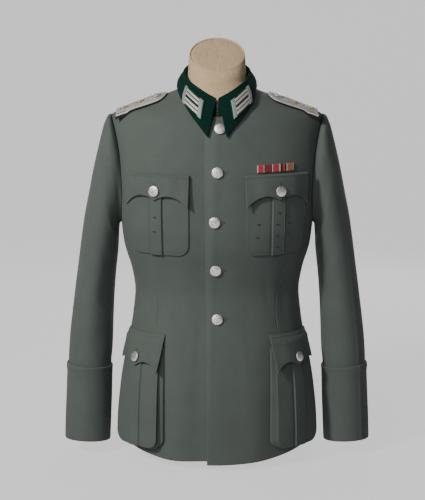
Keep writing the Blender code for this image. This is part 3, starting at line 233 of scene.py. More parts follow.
def column(rows, key, value):
    """The curve of one column of a table against another."""
    return Curve([getattr(r, key) for r in rows], [getattr(r, value) for r in rows])


TORSO_CURVES = [column(TORSO, "z", name) for name in Ring._fields[1:]]
INSET = Curve([z for z, _ in FORM_INSET], [inset for _, inset in FORM_INSET])
COLLAR_CURVES = {name: column(COLLAR, "angle", name) for name in Collar._fields[1:]}


def smooth(x):
    x = np.clip(x, 0.0, 1.0)
    return x * x * (3 - 2 * x)


def mix(a, b, u):
    return a + (b - a) * u


def bell(x, reach):
    """One at zero, fading on both sides over a reach."""
    return np.exp(-((np.asarray(x) / reach) ** 2))


def unit(v):
    return v / np.maximum(np.linalg.norm(v, axis=-1, keepdims=True), 1e-12)


def stacked(*values):
    """Points of space or of a texture, from an array for each direction."""
    return np.stack(np.broadcast_arrays(*values), axis=-1).astype(float)


def half_turn(degrees):
    """The same angle, between -180 and 180 degrees."""
    return (degrees + 180) % 360 - 180


def nearest(values, wanted):
    """Which of the values is nearest to a wanted one."""
    return int(np.argmin(np.abs(values - wanted)))


def run_along(line):
    """Length run at each point of a line."""
    return np.concatenate([[0], np.linalg.norm(np.diff(line, axis=0), axis=1).cumsum()])


def ring_point(angle, z):
    """A ring's point, at an angle from centre front that grows to the wearer's left."""
    half_width, front, back, square = (curve(z) for curve in TORSO_CURVES)
    across, along = np.sin(angle), np.cos(angle)
    x = np.sign(across) * half_width * np.abs(across) ** (2 / square)
    y = np.where(along > 0, -front, back) * np.abs(along) ** (2 / square)
    return stacked(x, y, z)


def fold_height(angle, z):
    """How far the folds and creases stand out of the body there."""
    out = np.zeros(np.broadcast(angle, z).shape)
    for f in FOLDS + CREASES:
        around = half_turn(np.degrees(angle) - f.angle - f.lean * (z - f.z))
        out = out + f.out * np.exp(-((around / f.half_angle) ** 2) - ((z - f.z) / f.half_height) ** 2)
    return out


def normal_at(angle, z):
    """The body's outward direction, smoothed over a few millimetres."""
    turn, rise = math.radians(4), 0.003
    around = ring_point(angle + turn, z) - ring_point(angle - turn, z)
    up = ring_point(angle, z + rise) - ring_point(angle, z - rise)
    return unit(np.cross(around, up))


def body(angle, z, lift=0.0):
    """A point of the tunic's outer face, moved out by lift."""
    return ring_point(angle, z) + normal_at(angle, z) * (fold_height(angle, z) + lift)[..., None]


ARC_STEP = 0.001
ARC_HEIGHTS = np.arange(0, 0.766, ARC_STEP)
ARC_ANGLES = np.linspace(0, math.pi, 181)
ARC_POINTS = ring_point(ARC_ANGLES[None, :], ARC_HEIGHTS[:, None])
ARC_LENGTHS = np.linalg.norm(np.diff(ARC_POINTS, axis=1), axis=2).cumsum(axis=1)
ARC_LENGTHS = np.concatenate([np.zeros((len(ARC_HEIGHTS), 1)), ARC_LENGTHS], axis=1)


def arcs_at(z):
    """Arc length from centre front at each of ARC_ANGLES, for each height."""
    at = np.clip(z, 0, ARC_HEIGHTS[-1]) / ARC_STEP
    low = np.minimum(at.astype(int), len(ARC_HEIGHTS) - 2)
    return mix(ARC_LENGTHS[low], ARC_LENGTHS[low + 1], (at - low)[..., None])


def angle_of_arc(arc, z):
    arc, z = (np.array(a, float) for a in np.broadcast_arrays(arc, z))
    rows = arcs_at(z)
    i = np.clip((rows < np.abs(arc)[..., None]).sum(axis=-1) - 1, 0, len(ARC_ANGLES) - 2)[..., None]
    low, high = (np.take_along_axis(rows, i + k, axis=-1)[..., 0] for k in (0, 1))
    share = np.clip((np.abs(arc) - low) / (high - low), 0, 1)
    return np.copysign((i[..., 0] + share) * ARC_ANGLES[1], arc)


def arc_of_angle(angle, z):
    angle, z = (np.array(a, float) for a in np.broadcast_arrays(angle, z))
    rows = arcs_at(z)
    at = np.clip(np.abs(angle) / ARC_ANGLES[1], 0, len(ARC_ANGLES) - 1)
    i = np.minimum(at.astype(int), len(ARC_ANGLES) - 2)[..., None]
    low, high = (np.take_along_axis(rows, i + k, axis=-1)[..., 0] for k in (0, 1))
    return np.copysign(mix(low, high, at - i[..., 0]), angle)


def on_body(arc, z, lift=0.0):
    """A point of the tunic's face at an arc length round from centre front, moved out by lift."""
    arc, z, lift = np.broadcast_arrays(np.asarray(arc, float), z, lift)
    return body(angle_of_arc(arc, z), z, lift + lap_height(arc, z))


def lap_height(x, z):
    """How far the covering front stands out where it lies on the other one."""
    covering = FRONT_LAP * (1 - smooth((x - LAP_REACH) / LAP_FADE))
    return np.where(x > -front_edge(z), covering * (x < LAP_REACH + LAP_FADE), 0.0)


def shoulder_height(x, y):
    """The height at which the torso's rings reach a point of the plan."""
    x, y = (np.array(a, float) for a in np.broadcast_arrays(x, y))
    low, high = np.full(x.shape, 0.55), np.full(x.shape, 0.765)
    for _ in range(30):
        z = (low + high) / 2
        inside = outside(stacked(x, y, z)) < 0
        low, high = np.where(inside, z, low), np.where(inside, high, z)
    return (low + high) / 2


def ring_angle_of(x, y, z):
    """The ring angle of a point that lies on the torso."""
    half_width, front, back, square = (curve(z) for curve in TORSO_CURVES)
    across = (np.abs(x) / half_width) ** (square / 2)
    along = (np.abs(y) / np.where(y < 0, front, back)) ** (square / 2)
    return np.copysign(np.arctan2(across, np.where(y > 0, -along, along)), x)


def outside(p):
    """Below zero inside the torso's rings, above it outside."""
    x, y, z = p[..., 0], p[..., 1], p[..., 2]
    half_width, front, back, square = (curve(z) for curve in TORSO_CURVES)
    return (np.abs(x) / half_width) ** square + (np.abs(y) / np.where(y < 0, front, back)) ** square - 1


def seated(p):
    """The points of the torso's rings nearest to some points."""
    step = 0.0004
    for _ in range(8):
        slopes = [(outside(p + step * e) - outside(p - step * e)) / (2 * step) for e in np.eye(3)]
        slope = np.stack(slopes, axis=-1)
        p = p - slope * (outside(p) / (slope**2).sum(axis=-1))[..., None]
    return p


def front_edge(z):
    """How far the covering front's edge lies past centre front."""
    return mix(FRONT_EDGE_LOW, FRONT_EDGE_HIGH, (z - HEM_FRONT) / (NECK_PIT - HEM_FRONT))


def hem(angle):
    return mix(np.where(np.cos(angle) > 0, HEM_FRONT, HEM_BACK), HEM_SIDE, np.sin(angle) ** 2)


def neckline(angle):
    """Arc length and height of the neckline, at an angle of its plan."""
    half_width, front, back = NECK_HOLE
    x = half_width * np.sin(angle)
    y = np.where(np.cos(angle) > 0, -front, -back) * np.cos(angle)
    z = shoulder_height(x, y)
    return arc_of_angle(ring_angle_of(x, y, z), z), z


def armhole(share, reach):
    """Angle and height along half of the armhole, from the underarm to the shoulder's tip."""
    turn = math.pi * (share - 0.5)
    middle, half = (UNDERARM + SHOULDER_TIP) / 2, (SHOULDER_TIP - UNDERARM) / 2
    return math.pi / 2 + reach * np.cos(turn), middle + half * np.sin(turn)


def lengths(points, axis):
    """Length run along an axis of a grid of points, from its start and from its end."""
    runs = np.linalg.norm(np.diff(points, axis=axis), axis=2).cumsum(axis=axis)
    zero = np.zeros_like(np.take(runs, [0], axis=axis))
    start = np.concatenate([zero, runs], axis=axis)
    return start, np.take(start, [-1], axis=axis) - start


def grid_normals(points, closed):
    if closed:
        along = np.roll(points, -1, axis=1) - np.roll(points, 1, axis=1)
    else:
        along = np.gradient(points, axis=1)
    return unit(np.cross(along, np.gradient(points, axis=0)))


def stops(length, edges, spacing, extra=()):
    """Shares from 0 to 1 along a length: close together at its ends, even between, and with extra ones."""
    inner = np.linspace(edges[-1] / length, 1 - edges[-1] / length, max(2, round(length / spacing)))
    ends = [e / length for e in edges[:-1]]
    every = np.concatenate([[0.0], ends, inner, [1 - e for e in ends], [1.0], extra])
    every = np.sort(every)
    keep = np.concatenate([[True], np.diff(every) > 0.00012 / length])
    return every[keep]


EDGE_STEPS = (0.0004, 0.0010, 0.0018, 0.0028, 0.0042, 0.0050, 0.0056, 0.0062, 0.0075, 0.0100)
EDGE_FEW = (0.0004, 0.0010, 0.0018, 0.0030, 0.0060)
ROLL_REACH = 0.0022
# How deep an edge rolls down, and over what reach where that isn't ROLL_REACH
SEAM_ROLL, HEM_ROLL = 0.0008, 0.0009
FRONT_ROLL, CUFF_ROLL, POCKET_ROLL = (0.0010, 0.0026), (0.0011, 0.0024), (0.0011, 0.0026)
STITCH_DIP, STITCH_DIP_WIDTH = 0.0004, 0.0009  # how far a line of stitching draws a pocket or flap in


def rolled(distance, depth, reach=ROLL_REACH):
    """How far an edge rolls down, by the distance from it."""
    return depth * (1 - np.sqrt(np.clip(1 - np.clip(1 - distance / reach, 0, 1) ** 2, 0, 1)))


# Meshes
STITCH_LINES = []


def put(name, data):
    """A new object in the scene."""
    made = bpy.data.objects.new(name, data)
    bpy.context.scene.collection.objects.link(made)
    return made


def make_object(name, points, faces, uvs=None, materials=(), slots=None, sharp=None):
    """A mesh object from points, faces, and a texture place for each corner."""
    mesh = bpy.data.meshes.new(name)
    points = np.array(points, float) + (0, SHIFT_Y, 0)
    mesh.from_pydata(points.tolist(), [], faces if isinstance(faces, list) else faces.tolist())
    if uvs is not None:
        layer = mesh.uv_layers.new(name="Cloth")
        layer.uv.foreach_set("vector", np.asarray(uvs, np.float32).ravel())
    for m in materials:
        mesh.materials.append(m)
    if slots is not None:
        mesh.polygons.foreach_set("material_index", np.asarray(slots, np.int32))
    mesh.shade_smooth()
    if sharp:
        mesh.set_sharp_from_angle(angle=math.radians(sharp))
    mesh.update()
    return put(name, mesh)


def volume(points, quads):
    a, b, c, d = (points[quads[:, k]] for k in range(4))
    return (np.cross(b - a, c - a) * a).sum() + (np.cross(c - a, d - a) * a).sum()


def grid_faces(rows, cols, round_rows=False, round_cols=True):
    """Rows, columns and corners of a grid's faces. A round grid's last row or column meets its first."""
    steps = np.arange(rows - (not round_rows)), np.arange(cols - (not round_cols))
    i, j = (a.ravel() for a in np.meshgrid(*steps, indexing="ij"))
    n, k = (i + 1) % rows, (j + 1) % cols
    return i, j, np.stack([i * cols + j, i * cols + k, n * cols + k, n * cols + j], axis=1)


def shell_parts(outer, inner, uv, closed=False):
    """Points, faces and texture places of a wall between two grids of the same size."""
    rows, cols = outer.shape[:2]
    count = rows * cols
    points = np.concatenate([outer.reshape(-1, 3), inner.reshape(-1, 3)])
    i, j, face = grid_faces(rows, cols, round_cols=closed)
    place = np.stack([uv[i, j], uv[i, j + 1], uv[i + 1, j + 1], uv[i + 1, j]], axis=1)
    faces, places = [face, face[:, ::-1] + count], [place, place[:, ::-1]]
    j = np.arange(cols - (not closed))
    k = (j + 1) % cols
    for row, swap in ((0, False), (rows - 1, True)):
        after, before = row * cols + k, row * cols + j
        rim = np.stack([after, before, before + count, after + count], axis=1)
        at = np.stack([uv[row, j + 1], uv[row, j], uv[row, j], uv[row, j + 1]], axis=1)
        faces.append(rim[:, ::-1] if swap else rim)
        places.append(at[:, ::-1] if swap else at)
    if not closed:
        i = np.arange(rows - 1)
        for col, swap in ((0, False), (cols - 1, True)):
            low, high = i * cols + col, (i + 1) * cols + col
            rim = np.stack([low, high, high + count, low + count], axis=1)
            at = np.stack([uv[i, col], uv[i + 1, col], uv[i + 1, col], uv[i, col]], axis=1)
            faces.append(rim[:, ::-1] if swap else rim)
            places.append(at[:, ::-1] if swap else at)
    faces, places = np.concatenate(faces), np.concatenate(places)
    if volume(points, faces) < 0:
        faces, places = faces[:, ::-1], places[:, ::-1]
    return points, faces, places


def shell(name, outer, inner, uv, material, closed=False):
    points, faces, places = shell_parts(outer, inner, uv, closed)
    return make_object(name, points, faces, places, [material])


def joined(name, parts, materials, slots=None, sharp=None):
    """One object from several parts, each of points, faces and texture places."""
    points, faces, places, which = [], [], [], []
    start = 0
    for n, (p, f, t) in enumerate(parts):
        points.append(p)
        faces.append(f + start)
        places.append(t)
        which.append(np.full(len(f), 0 if slots is None else slots[n]))
        start += len(p)
    return make_object(
        name, np.concatenate(points), np.concatenate(faces), np.concatenate(places), materials,
        np.concatenate(which), sharp,
    )


def side_name(side):
    return "left" if side > 0 else "right"


# Materials
def linear(text):
    """A hex sRGB colour as linear numbers."""
    parts = [int(text[k : k + 2], 16) / 255 for k in (1, 3, 5)]
    return tuple(c / 12.92 if c <= 0.04045 else ((c + 0.055) / 1.055) ** 2.4 for c in parts) + (1.0,)


def add(tree, kind, settings=None, inputs=None, links=None):
    """Adds a node with its settings, the values of its inputs and the sockets that feed it."""
    made = tree.nodes.new(kind)
    for key, value in (settings or {}).items():
        setattr(made, key, value)
    for key, value in (inputs or {}).items():
        made.inputs[key].default_value = value
    for key, source in (links or {}).items():
        tree.links.new(source, made.inputs[key])
    return made


def new_material(name, **inputs):
    """A material with a Principled shader, whose inputs are given by name with _ for a space."""
    made = bpy.data.materials.new(name)
    made.use_nodes = True
    shader = made.node_tree.nodes["Principled BSDF"]
    for key, value in inputs.items():
        shader.inputs[key.replace("_", " ")].default_value = value
    return made, made.node_tree, shader


def two_colours(tree, source, low, high, at=(0.35, 0.65)):
    """A ramp between two hex colours over a value."""
    ramp = add(tree, "ShaderNodeValToRGB", links={"Fac": source})
    for element, place, colour in zip(ramp.color_ramp.elements, at, (low, high)):
        element.position = place
        element.color = linear(colour)
    return ramp.outputs["Color"]


def gabardine():
    """Wool gabardine, woven and pressed: a matt grey-green with a fine steep twill and a little nap.

    The real twill is 0.8 mm from rib to rib; it is drawn 2.2 mm wide, or it wouldn't show at all.
    """
    made, tree, shader = new_material(
        "wool_gabardine", Roughness=0.86, Sheen_Weight=0.22, Sheen_Roughness=0.45,
        Sheen_Tint=linear("#98a39c"),
    )
    uv = add(tree, "ShaderNodeUVMap", {"uv_map": "Cloth"}).outputs["UV"]
    place = add(tree, "ShaderNodeTexCoord").outputs["Object"]
    steep = add(tree, "ShaderNodeMapping", inputs={"Scale": (1.0, 0.62, 1.0)}, links={"Vector": uv})
    twill = add(
        tree, "ShaderNodeTexWave", {"bands_direction": "DIAGONAL"},
        {"Scale": 202.0, "Distortion": 0.5, "Detail": 1.0, "Detail Scale": 2.0}, {"Vector": steep.outputs[0]},
    )
    mottle = add(tree, "ShaderNodeTexNoise", inputs={"Scale": 26.0, "Detail": 4.0}, links={"Vector": place})
    nap = add(
        tree, "ShaderNodeTexNoise", {}, {"Scale": 780.0, "Detail": 2.0, "Roughness": 0.7}, {"Vector": place}
    ).outputs["Fac"]
    ground = two_colours(tree, mottle.outputs["Fac"], "#5e6762", "#646d68")
    fibre = two_colours(tree, nap, "#4e5852", "#78827b", (0.30, 0.72))
    speckled = add(tree, "ShaderNodeMix", {"data_type": "RGBA"}, {"Factor": 0.38}, {6: ground, 7: fibre})
    ribs = two_colours(tree, twill.outputs["Fac"], "#8f8f8f", "#ffffff", (0.1, 0.6))
    ribbed = add(
        tree, "ShaderNodeMix", {"data_type": "RGBA", "blend_type": "MULTIPLY"}, {"Factor": 0.16},
        {6: speckled.outputs[2], 7: ribs},
    )
    tree.links.new(ribbed.outputs[2], shader.inputs["Base Color"])
    fine = add(tree, "ShaderNodeBump", {}, {"Strength": 0.35, "Distance": 0.0004}, {"Height": nap})
    coarse = add(
        tree, "ShaderNodeBump", inputs={"Strength": 0.30, "Distance": 0.0004},
        links={"Height": twill.outputs["Fac"], "Normal": fine.outputs[0]},
    )
    tree.links.new(coarse.outputs[0], shader.inputs["Normal"])
    return made


def napped_wool(name, dark, light):
    """Badge cloth, a fulled and cropped wool: deep and matt, with a short nap that catches light."""
    made, tree, shader = new_material(
        name, Roughness=0.95, Sheen_Weight=0.05, Sheen_Roughness=0.4, Sheen_Tint=linear("#5fa08c"),
        Specular_IOR_Level=0.2,
    )
    place = add(tree, "ShaderNodeTexCoord").outputs["Object"]
    nap = add(
        tree, "ShaderNodeTexNoise", {}, {"Scale": 420.0, "Detail": 3.0, "Roughness": 0.7}, {"Vector": place}
    ).outputs["Fac"]
    tree.links.new(two_colours(tree, nap, dark, light, (0.28, 0.74)), shader.inputs["Base Color"])
    bump = add(tree, "ShaderNodeBump", {}, {"Strength": 0.5, "Distance": 0.0006}, {"Height": nap})
    tree.links.new(bump.outputs[0], shader.inputs["Normal"])
    return made


CAP_PLACE = (0.5, 0.3)  # where the neck's cap lies in the form's texture, apart from the rest


def linen():
    """Unbleached linen over a padded form: threads of uneven thickness, with slubs that show more on the cap,
    where they also darken it as painted shade.

    The threads are drawn about twice as coarse as they are.
    """
    made, tree, shader = new_material("slub_linen", Roughness=0.9, Sheen_Weight=0.15)
    uv = add(tree, "ShaderNodeUVMap", {"uv_map": "Cloth"}).outputs["UV"]
    threads = []
    for scale in ((1400.0, 55.0, 1.0), (45.0, 1200.0, 1.0)):
        long = add(tree, "ShaderNodeMapping", inputs={"Scale": scale}, links={"Vector": uv})
        thread = add(
            tree, "ShaderNodeTexNoise", {}, {"Scale": 1.0, "Detail": 2.0}, {"Vector": long.outputs[0]}
        )
        threads.append(thread.outputs["Fac"])
    woven = add(tree, "ShaderNodeMath", {"operation": "ADD"}, links={0: threads[0], 1: threads[1]})
    half = add(tree, "ShaderNodeMath", {"operation": "MULTIPLY"}, {1: 0.5}, {0: woven.outputs[0]})
    ground = two_colours(tree, half.outputs[0], "#d3b489", "#fbdeb5", (0.34, 0.66))
    wide = add(tree, "ShaderNodeMapping", inputs={"Scale": (760.0, 22.0, 1.0)}, links={"Vector": uv})
    slub = add(tree, "ShaderNodeTexNoise", {}, {"Scale": 1.0, "Detail": 3.0}, {"Vector": wide.outputs[0]})
    across = add(tree, "ShaderNodeSeparateXYZ", links={"Vector": uv}).outputs["X"]
    # On the cap the slub streaks are laid on more strongly, which darkens it: partly the slubs' real texture,
    # partly painted shade.
    cap = add(tree, "ShaderNodeMath", {"operation": "GREATER_THAN"}, {1: CAP_PLACE[0] - 0.08}, {0: across})
    slubs_and_cap_shade = add(tree, "ShaderNodeMapRange", {}, {"To Min": 0.08, "To Max": 0.26}, {"Value": cap.outputs[0]})
    streaks = two_colours(tree, slub.outputs["Fac"], "#a08a68", "#ffffff", (0.36, 0.58))
    slubbed = add(
        tree, "ShaderNodeMix", {"data_type": "RGBA", "blend_type": "MULTIPLY"}, {},
        {0: slubs_and_cap_shade.outputs[0], 6: ground, 7: streaks},
    )
    tree.links.new(slubbed.outputs[2], shader.inputs["Base Color"])
    bump = add(tree, "ShaderNodeBump", {}, {"Strength": 0.5, "Distance": 0.0006}, {"Height": half.outputs[0]})
    tree.links.new(bump.outputs[0], shader.inputs["Normal"])
    return made


def sewing_thread(name, colour):
    """Mercerised cotton thread, a little glossier than the cloth that it sews."""
    made, tree, shader = new_material(name, Roughness=0.6, Base_Color=linear(colour))
    place = add(tree, "ShaderNodeTexCoord").outputs["Object"]
    ply = add(tree, "ShaderNodeTexNoise", inputs={"Scale": 2600.0, "Detail": 1.0}, links={"Vector": place})
    bump = add(tree, "ShaderNodeBump", {}, {"Strength": 0.4, "Distance": 0.0002}, {"Height": ply.outputs[0]})
    tree.links.new(bump.outputs[0], shader.inputs["Normal"])
    return made


def silver_thread(name, dark, light, gloss):
    """Aluminium-wrapped thread, braided: pale and softly metallic, in small slanting plaits that glint apart.

    The real plaits are 1 mm long; they are drawn 1.9 mm long, so that they show as a grain.
    """
    made, tree, shader = new_material(name, Roughness=gloss, Metallic=0.45)
    uv = add(tree, "ShaderNodeUVMap", {"uv_map": "Cloth"}).outputs["UV"]
    place = add(tree, "ShaderNodeTexCoord").outputs["Object"]
    slant = add(tree, "ShaderNodeMapping", inputs={"Scale": (1.0, 0.004, 1.0)}, links={"Vector": uv})
    plait = add(
        tree, "ShaderNodeTexWave", {"bands_direction": "DIAGONAL"},
        {"Scale": 330.0, "Distortion": 1.2, "Detail": 1.0, "Detail Scale": 3.0}, {"Vector": slant.outputs[0]},
    )
    grain = add(tree, "ShaderNodeTexNoise", inputs={"Scale": 900.0, "Detail": 2.0}, links={"Vector": place})
    mixed = add(
        tree, "ShaderNodeMix", {"data_type": "FLOAT"}, {"Factor": 0.5},
        {2: plait.outputs["Fac"], 3: grain.outputs["Fac"]},
    )
    both = mixed.outputs[0]
    tree.links.new(two_colours(tree, both, dark, light, (0.25, 0.6)), shader.inputs["Base Color"])
    bump = add(tree, "ShaderNodeBump", {}, {"Strength": 0.6, "Distance": 0.0005}, {"Height": both})
    tree.links.new(bump.outputs[0], shader.inputs["Normal"])
    return made


def pebbled_silver():
    """Aluminium buttons, stamped with a pebble grain and matt plated: pale grey, unevenly worn."""
    made, tree, shader = new_material("pebbled_aluminium", Metallic=0.85, Roughness=0.42)
    place = add(tree, "ShaderNodeTexCoord").outputs["Object"]
    grain = add(
        tree, "ShaderNodeTexVoronoi", {"feature": "SMOOTH_F1"}, {"Scale": 720.0, "Smoothness": 0.7},
        {"Vector": place},
    ).outputs["Distance"]
    tarnish = add(tree, "ShaderNodeTexNoise", inputs={"Scale": 260.0, "Detail": 3.0}, links={"Vector": place})
    colour = two_colours(tree, tarnish.outputs["Fac"], "#b9b6b2", "#eeecea", (0.30, 0.55))
    tree.links.new(colour, shader.inputs["Base Color"])
    bump = add(tree, "ShaderNodeBump", {}, {"Strength": 0.55, "Distance": 0.0005}, {"Height": grain})
    tree.links.new(bump.outputs[0], shader.inputs["Normal"])
    return made


def gilt():
    """Gilded brass stars, struck and burnished: warm, with a faint grain left by the die."""
    made, tree, shader = new_material("gilt_brass", Metallic=0.55, Roughness=0.36)
    place = add(tree, "ShaderNodeTexCoord").outputs["Object"]
    wear = add(tree, "ShaderNodeTexNoise", inputs={"Scale": 420.0, "Detail": 3.0}, links={"Vector": place})
    colour = two_colours(tree, wear.outputs["Fac"], "#f0c055", "#ffeaa6", (0.3, 0.7))
    tree.links.new(colour, shader.inputs["Base Color"])
    bump = add(tree, "ShaderNodeBump", {}, {"Strength": 0.2, "Distance": 0.0003}, {"Height": wear.outputs[0]})
    tree.links.new(bump.outputs[0], shader.inputs["Normal"])
    return made


def ribbed_silk(name, colour, shade):
    """Ribbon of ribbed silk with a soft shine. Its fine ribs are drawn 1.4 mm apart, so that they show."""
    made, tree, shader = new_material(name, Roughness=0.55, Sheen_Weight=0.3)
    uv = add(tree, "ShaderNodeUVMap", {"uv_map": "Cloth"}).outputs["UV"]
    ribs = add(
        tree, "ShaderNodeTexWave", {"bands_direction": "Y"}, {"Scale": 225.0, "Distortion": 0.8},
        {"Vector": uv},
    )
    silk = two_colours(tree, ribs.outputs["Fac"], shade, colour, (0.1, 0.7))
    tree.links.new(silk, shader.inputs["Base Color"])
    bump = add(tree, "ShaderNodeBump", {}, {"Strength": 0.4, "Distance": 0.0003}, {"Height": ribs.outputs[0]})
    tree.links.new(bump.outputs[0], shader.inputs["Normal"])
    return made


GABARDINE, LINEN = gabardine(), linen()
BADGE_CLOTH = napped_wool("bottle_green_badge_cloth", "#01201b", "#063b31")
GREEN_FACING = napped_wool("green_facing_cloth", "#063526", "#0b4f3a")
DARK_BASE = napped_wool("dark_base_cloth", "#1c2421", "#333d38")
DULL_WIRE = new_material("plated_steel_wire", Metallic=0.9, Roughness=0.45, Base_Color=linear("#8f9290"))[0]
THREAD = sewing_thread("cotton_thread", "#545c56")
# The badge loops' thread is near black: painted shade for the shadow in and under each small loop.
LOOP_THREAD_WITH_PAINTED_SHADE = sewing_thread("dark_cotton_thread", "#23291f")
SILVER_CORD = silver_thread("silver_braid", "#94968f", "#d6d6cf", 0.5)
DULL_CORD = silver_thread("dull_silver_braid", "#78837b", "#b9c3bb", 0.6)
PALE_CORD = silver_thread("pale_silver_braid", "#bdb2ae", "#f6eeea", 0.5)
PEBBLED_SILVER, GILT = pebbled_silver(), gilt()
SILKS = {
    "red": ribbed_silk("red_silk", "#d5404a", "#b02f38"),
    "crimson": ribbed_silk("crimson_silk", "#94303a", "#70222b"),
    "dark": ribbed_silk("dark_silk", "#3a2024", "#2a1519"),
    "white": ribbed_silk("white_silk", "#e6dcd6", "#c8bdb6"),
    "black": ribbed_silk("black_silk", "#1b1718", "#100e0f"),
    "tan": ribbed_silk("tan_silk", "#c27a58", "#a86348"),
    "cream": ribbed_silk("cream_silk", "#e0c9a8", "#c4ab88"),
}


def dressed(piece, nodes=()):
    """Rides a piece on the part and hides the part's own pieces that it stands in for."""
    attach(piece, "root")
    if nodes:
        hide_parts(*nodes)


# The body's four panels
FRONT_ACROSS, BACK_ACROSS, PANEL_UP = 0.270, 0.250, 0.680  # about how long a panel's rows and columns run
DART_SHARE, DART_LOW, DART_HIGH = 0.545, 0.262, 0.425
DART_WIDTH, DART_DEPTH = 0.0011, 0.0011
FRONT_STITCH, HEM_STITCH = 0.0056, 0.0320  # stitching this far from the front edge, and the hem's turning


def panel_patch(u, v, centre, top, side, bottom):
    """Points of the torso between four edges: centre and side run up, the others out."""
    u, v = u[None, :, None], v[:, None, None]
    bottom[0], bottom[-1] = centre[0], side[0]
    top[0], top[-1] = centre[-1], side[-1]
    edges = (1 - v) * bottom[None] + v * top[None] + (1 - u) * centre[:, None] + u * side[:, None]
    corners = mix(mix(bottom[0], bottom[-1], u), mix(top[0], top[-1], u), v)
    return seated(edges - corners)


def edge_points(arc, z):
    return ring_point(angle_of_arc(arc, z), z)


def side_edge(v, reach, gap):
    """A panel's side seam and then its half of the armhole."""
    z_low = mix(HEM_SIDE, UNDERARM, v / SKIRT_SHARE)
    angle, z_high = armhole(np.clip((v - SKIRT_SHARE) / (1 - SKIRT_SHARE), 0, 1), reach)
    low = v < SKIRT_SHARE
    z = np.where(low, z_low, z_high)
    return arc_of_angle(np.where(low, math.pi / 2, angle), z) + gap, z


def top_edge(u, start, angle_from, gap):
    """The neckline and then the shoulder seam, out to the shoulder's tip."""
    arc, z = neckline(mix(angle_from, math.pi / 2, np.clip(u / NECK_SHARE, 0, 1) ** 0.9))
    z_out = mix(neckline(math.pi / 2)[1], SHOULDER_TIP, (u - NECK_SHARE) / (1 - NECK_SHARE))
    on_neck = u <= NECK_SHARE
    z = np.where(on_neck, z, z_out)
    arc = np.where(on_neck, arc, arc_of_angle(math.pi / 2, z) + gap)
    arc[0], z[0] = start
    return arc, z


def front_patch(covering):
    rise = 0.0 if covering else UNDER_FRONT_RISE
    u = stops(FRONT_ACROSS, EDGE_STEPS, 0.0055, DART_SHARE + np.arange(-4, 5) * 0.0006 / FRONT_ACROSS)
    u = np.unique(np.append(u, NECK_SHARE))
    v = np.unique(np.append(stops(PANEL_UP, EDGE_FEW, 0.0060), SKIRT_SHARE))
    z = mix(HEM_FRONT + rise, NECK_PIT - 0.0012, v)
    centre = (-(1.0 if covering else COVERED_SHARE) * front_edge(z), z)
    seam = side_edge(v, -ARMHOLE_FRONT, -SEAM / 2)
    angle = mix(angle_of_arc(centre[0][0], z[0]), math.pi / 2, u)
    low = hem(angle) + rise * (1 - smooth(np.abs(angle) / 0.6))
    bottom = (arc_of_angle(angle, low), low)
    top = top_edge(u, (centre[0][-1], z[-1]), 0.0, -SEAM / 2)
    return u, v, panel_patch(u, v, *(edge_points(*edge) for edge in (centre, top, seam, bottom)))


def back_patch():
    u = np.unique(np.append(stops(BACK_ACROSS, EDGE_FEW, 0.0055), NECK_SHARE))
    v = np.unique(np.append(stops(PANEL_UP, EDGE_FEW, 0.0060), SKIRT_SHARE))
    z = mix(HEM_BACK, neckline(math.pi)[1], v)
    centre = (arcs_at(z)[..., -1] - SEAM / 2, z)
    seam = side_edge(v, ARMHOLE_BACK, SEAM / 2)
    angle = mix(math.pi, math.pi / 2, u)
    low = hem(angle)
    top = top_edge(u, (centre[0][-1], z[-1]), math.pi, SEAM / 2)
    bottom = (arc_of_angle(angle, low), low)
    return u, v, panel_patch(u, v, *(edge_points(*edge) for edge in (centre, top, seam, bottom)))


def front_lap(x, covering):
    """How far a front is lifted where the two fronts lie on each other."""
    if covering:
        return FRONT_LAP * (1 - smooth((x - LAP_REACH) / LAP_FADE))
    return -FRONT_LAP * smooth((x + LAP_REACH + LAP_FADE) / LAP_FADE)


def body_panel(node, patch, side, covering=None):
    """A panel of the body: its points laid on the rings, its edges rolled down and its wall inwards."""
    u, _, points = patch
    x, y, z = side * points[..., 0], points[..., 1], points[..., 2]
    angle = ring_angle_of(x, y, z)
    lift = 0.0 if covering is None else front_lap(x, covering)
    from_centre, from_side = lengths(points, 1)
    from_hem, from_top = lengths(points, 0)
    lift = lift - rolled(from_side, SEAM_ROLL) - rolled(from_hem, HEM_ROLL) - rolled(from_top, SEAM_ROLL)
    if covering is None:
        lift = lift - rolled(from_centre, SEAM_ROLL)
    else:
        lift = lift - rolled(from_centre, *FRONT_ROLL)
        turned_up = 0.6 * bell(from_hem - HEM_STITCH, 0.0060) * (from_hem < 0.04)
        lift = lift - 0.00028 * (bell(from_centre - FRONT_STITCH, 0.0007) + turned_up)
        run = bell(u[None, :] - DART_SHARE, DART_WIDTH / FRONT_ACROSS)
        reach = smooth((z - DART_LOW) / 0.02) * smooth((DART_HIGH - z) / 0.03)
        lift = lift - DART_DEPTH * run * reach
    outer, inner = body(angle, z, lift), body(angle, z, lift - WALL)
    uv = stacked(arc_of_angle(angle, z), z)
    piece = shell(f"{node}_cloth", outer, inner, uv, GABARDINE)
    if covering:
        STITCH_LINES.append(outer[:, nearest(u, FRONT_STITCH / FRONT_ACROSS)])
    dressed(piece, [node])


# The sleeves and their cuffs
SLEEVE_TURNS, SLEEVE_ROWS = 120, 110
SLEEVE_RADIUS, CUFF_RADIUS = 0.062, 0.050  # about how wide they are, for their texture
HEAD_DOWN, HEAD_REACH, HEAD_RISE = 0.0085, 0.0055, 0.0011  # the roll of the sleeve's head below its seam


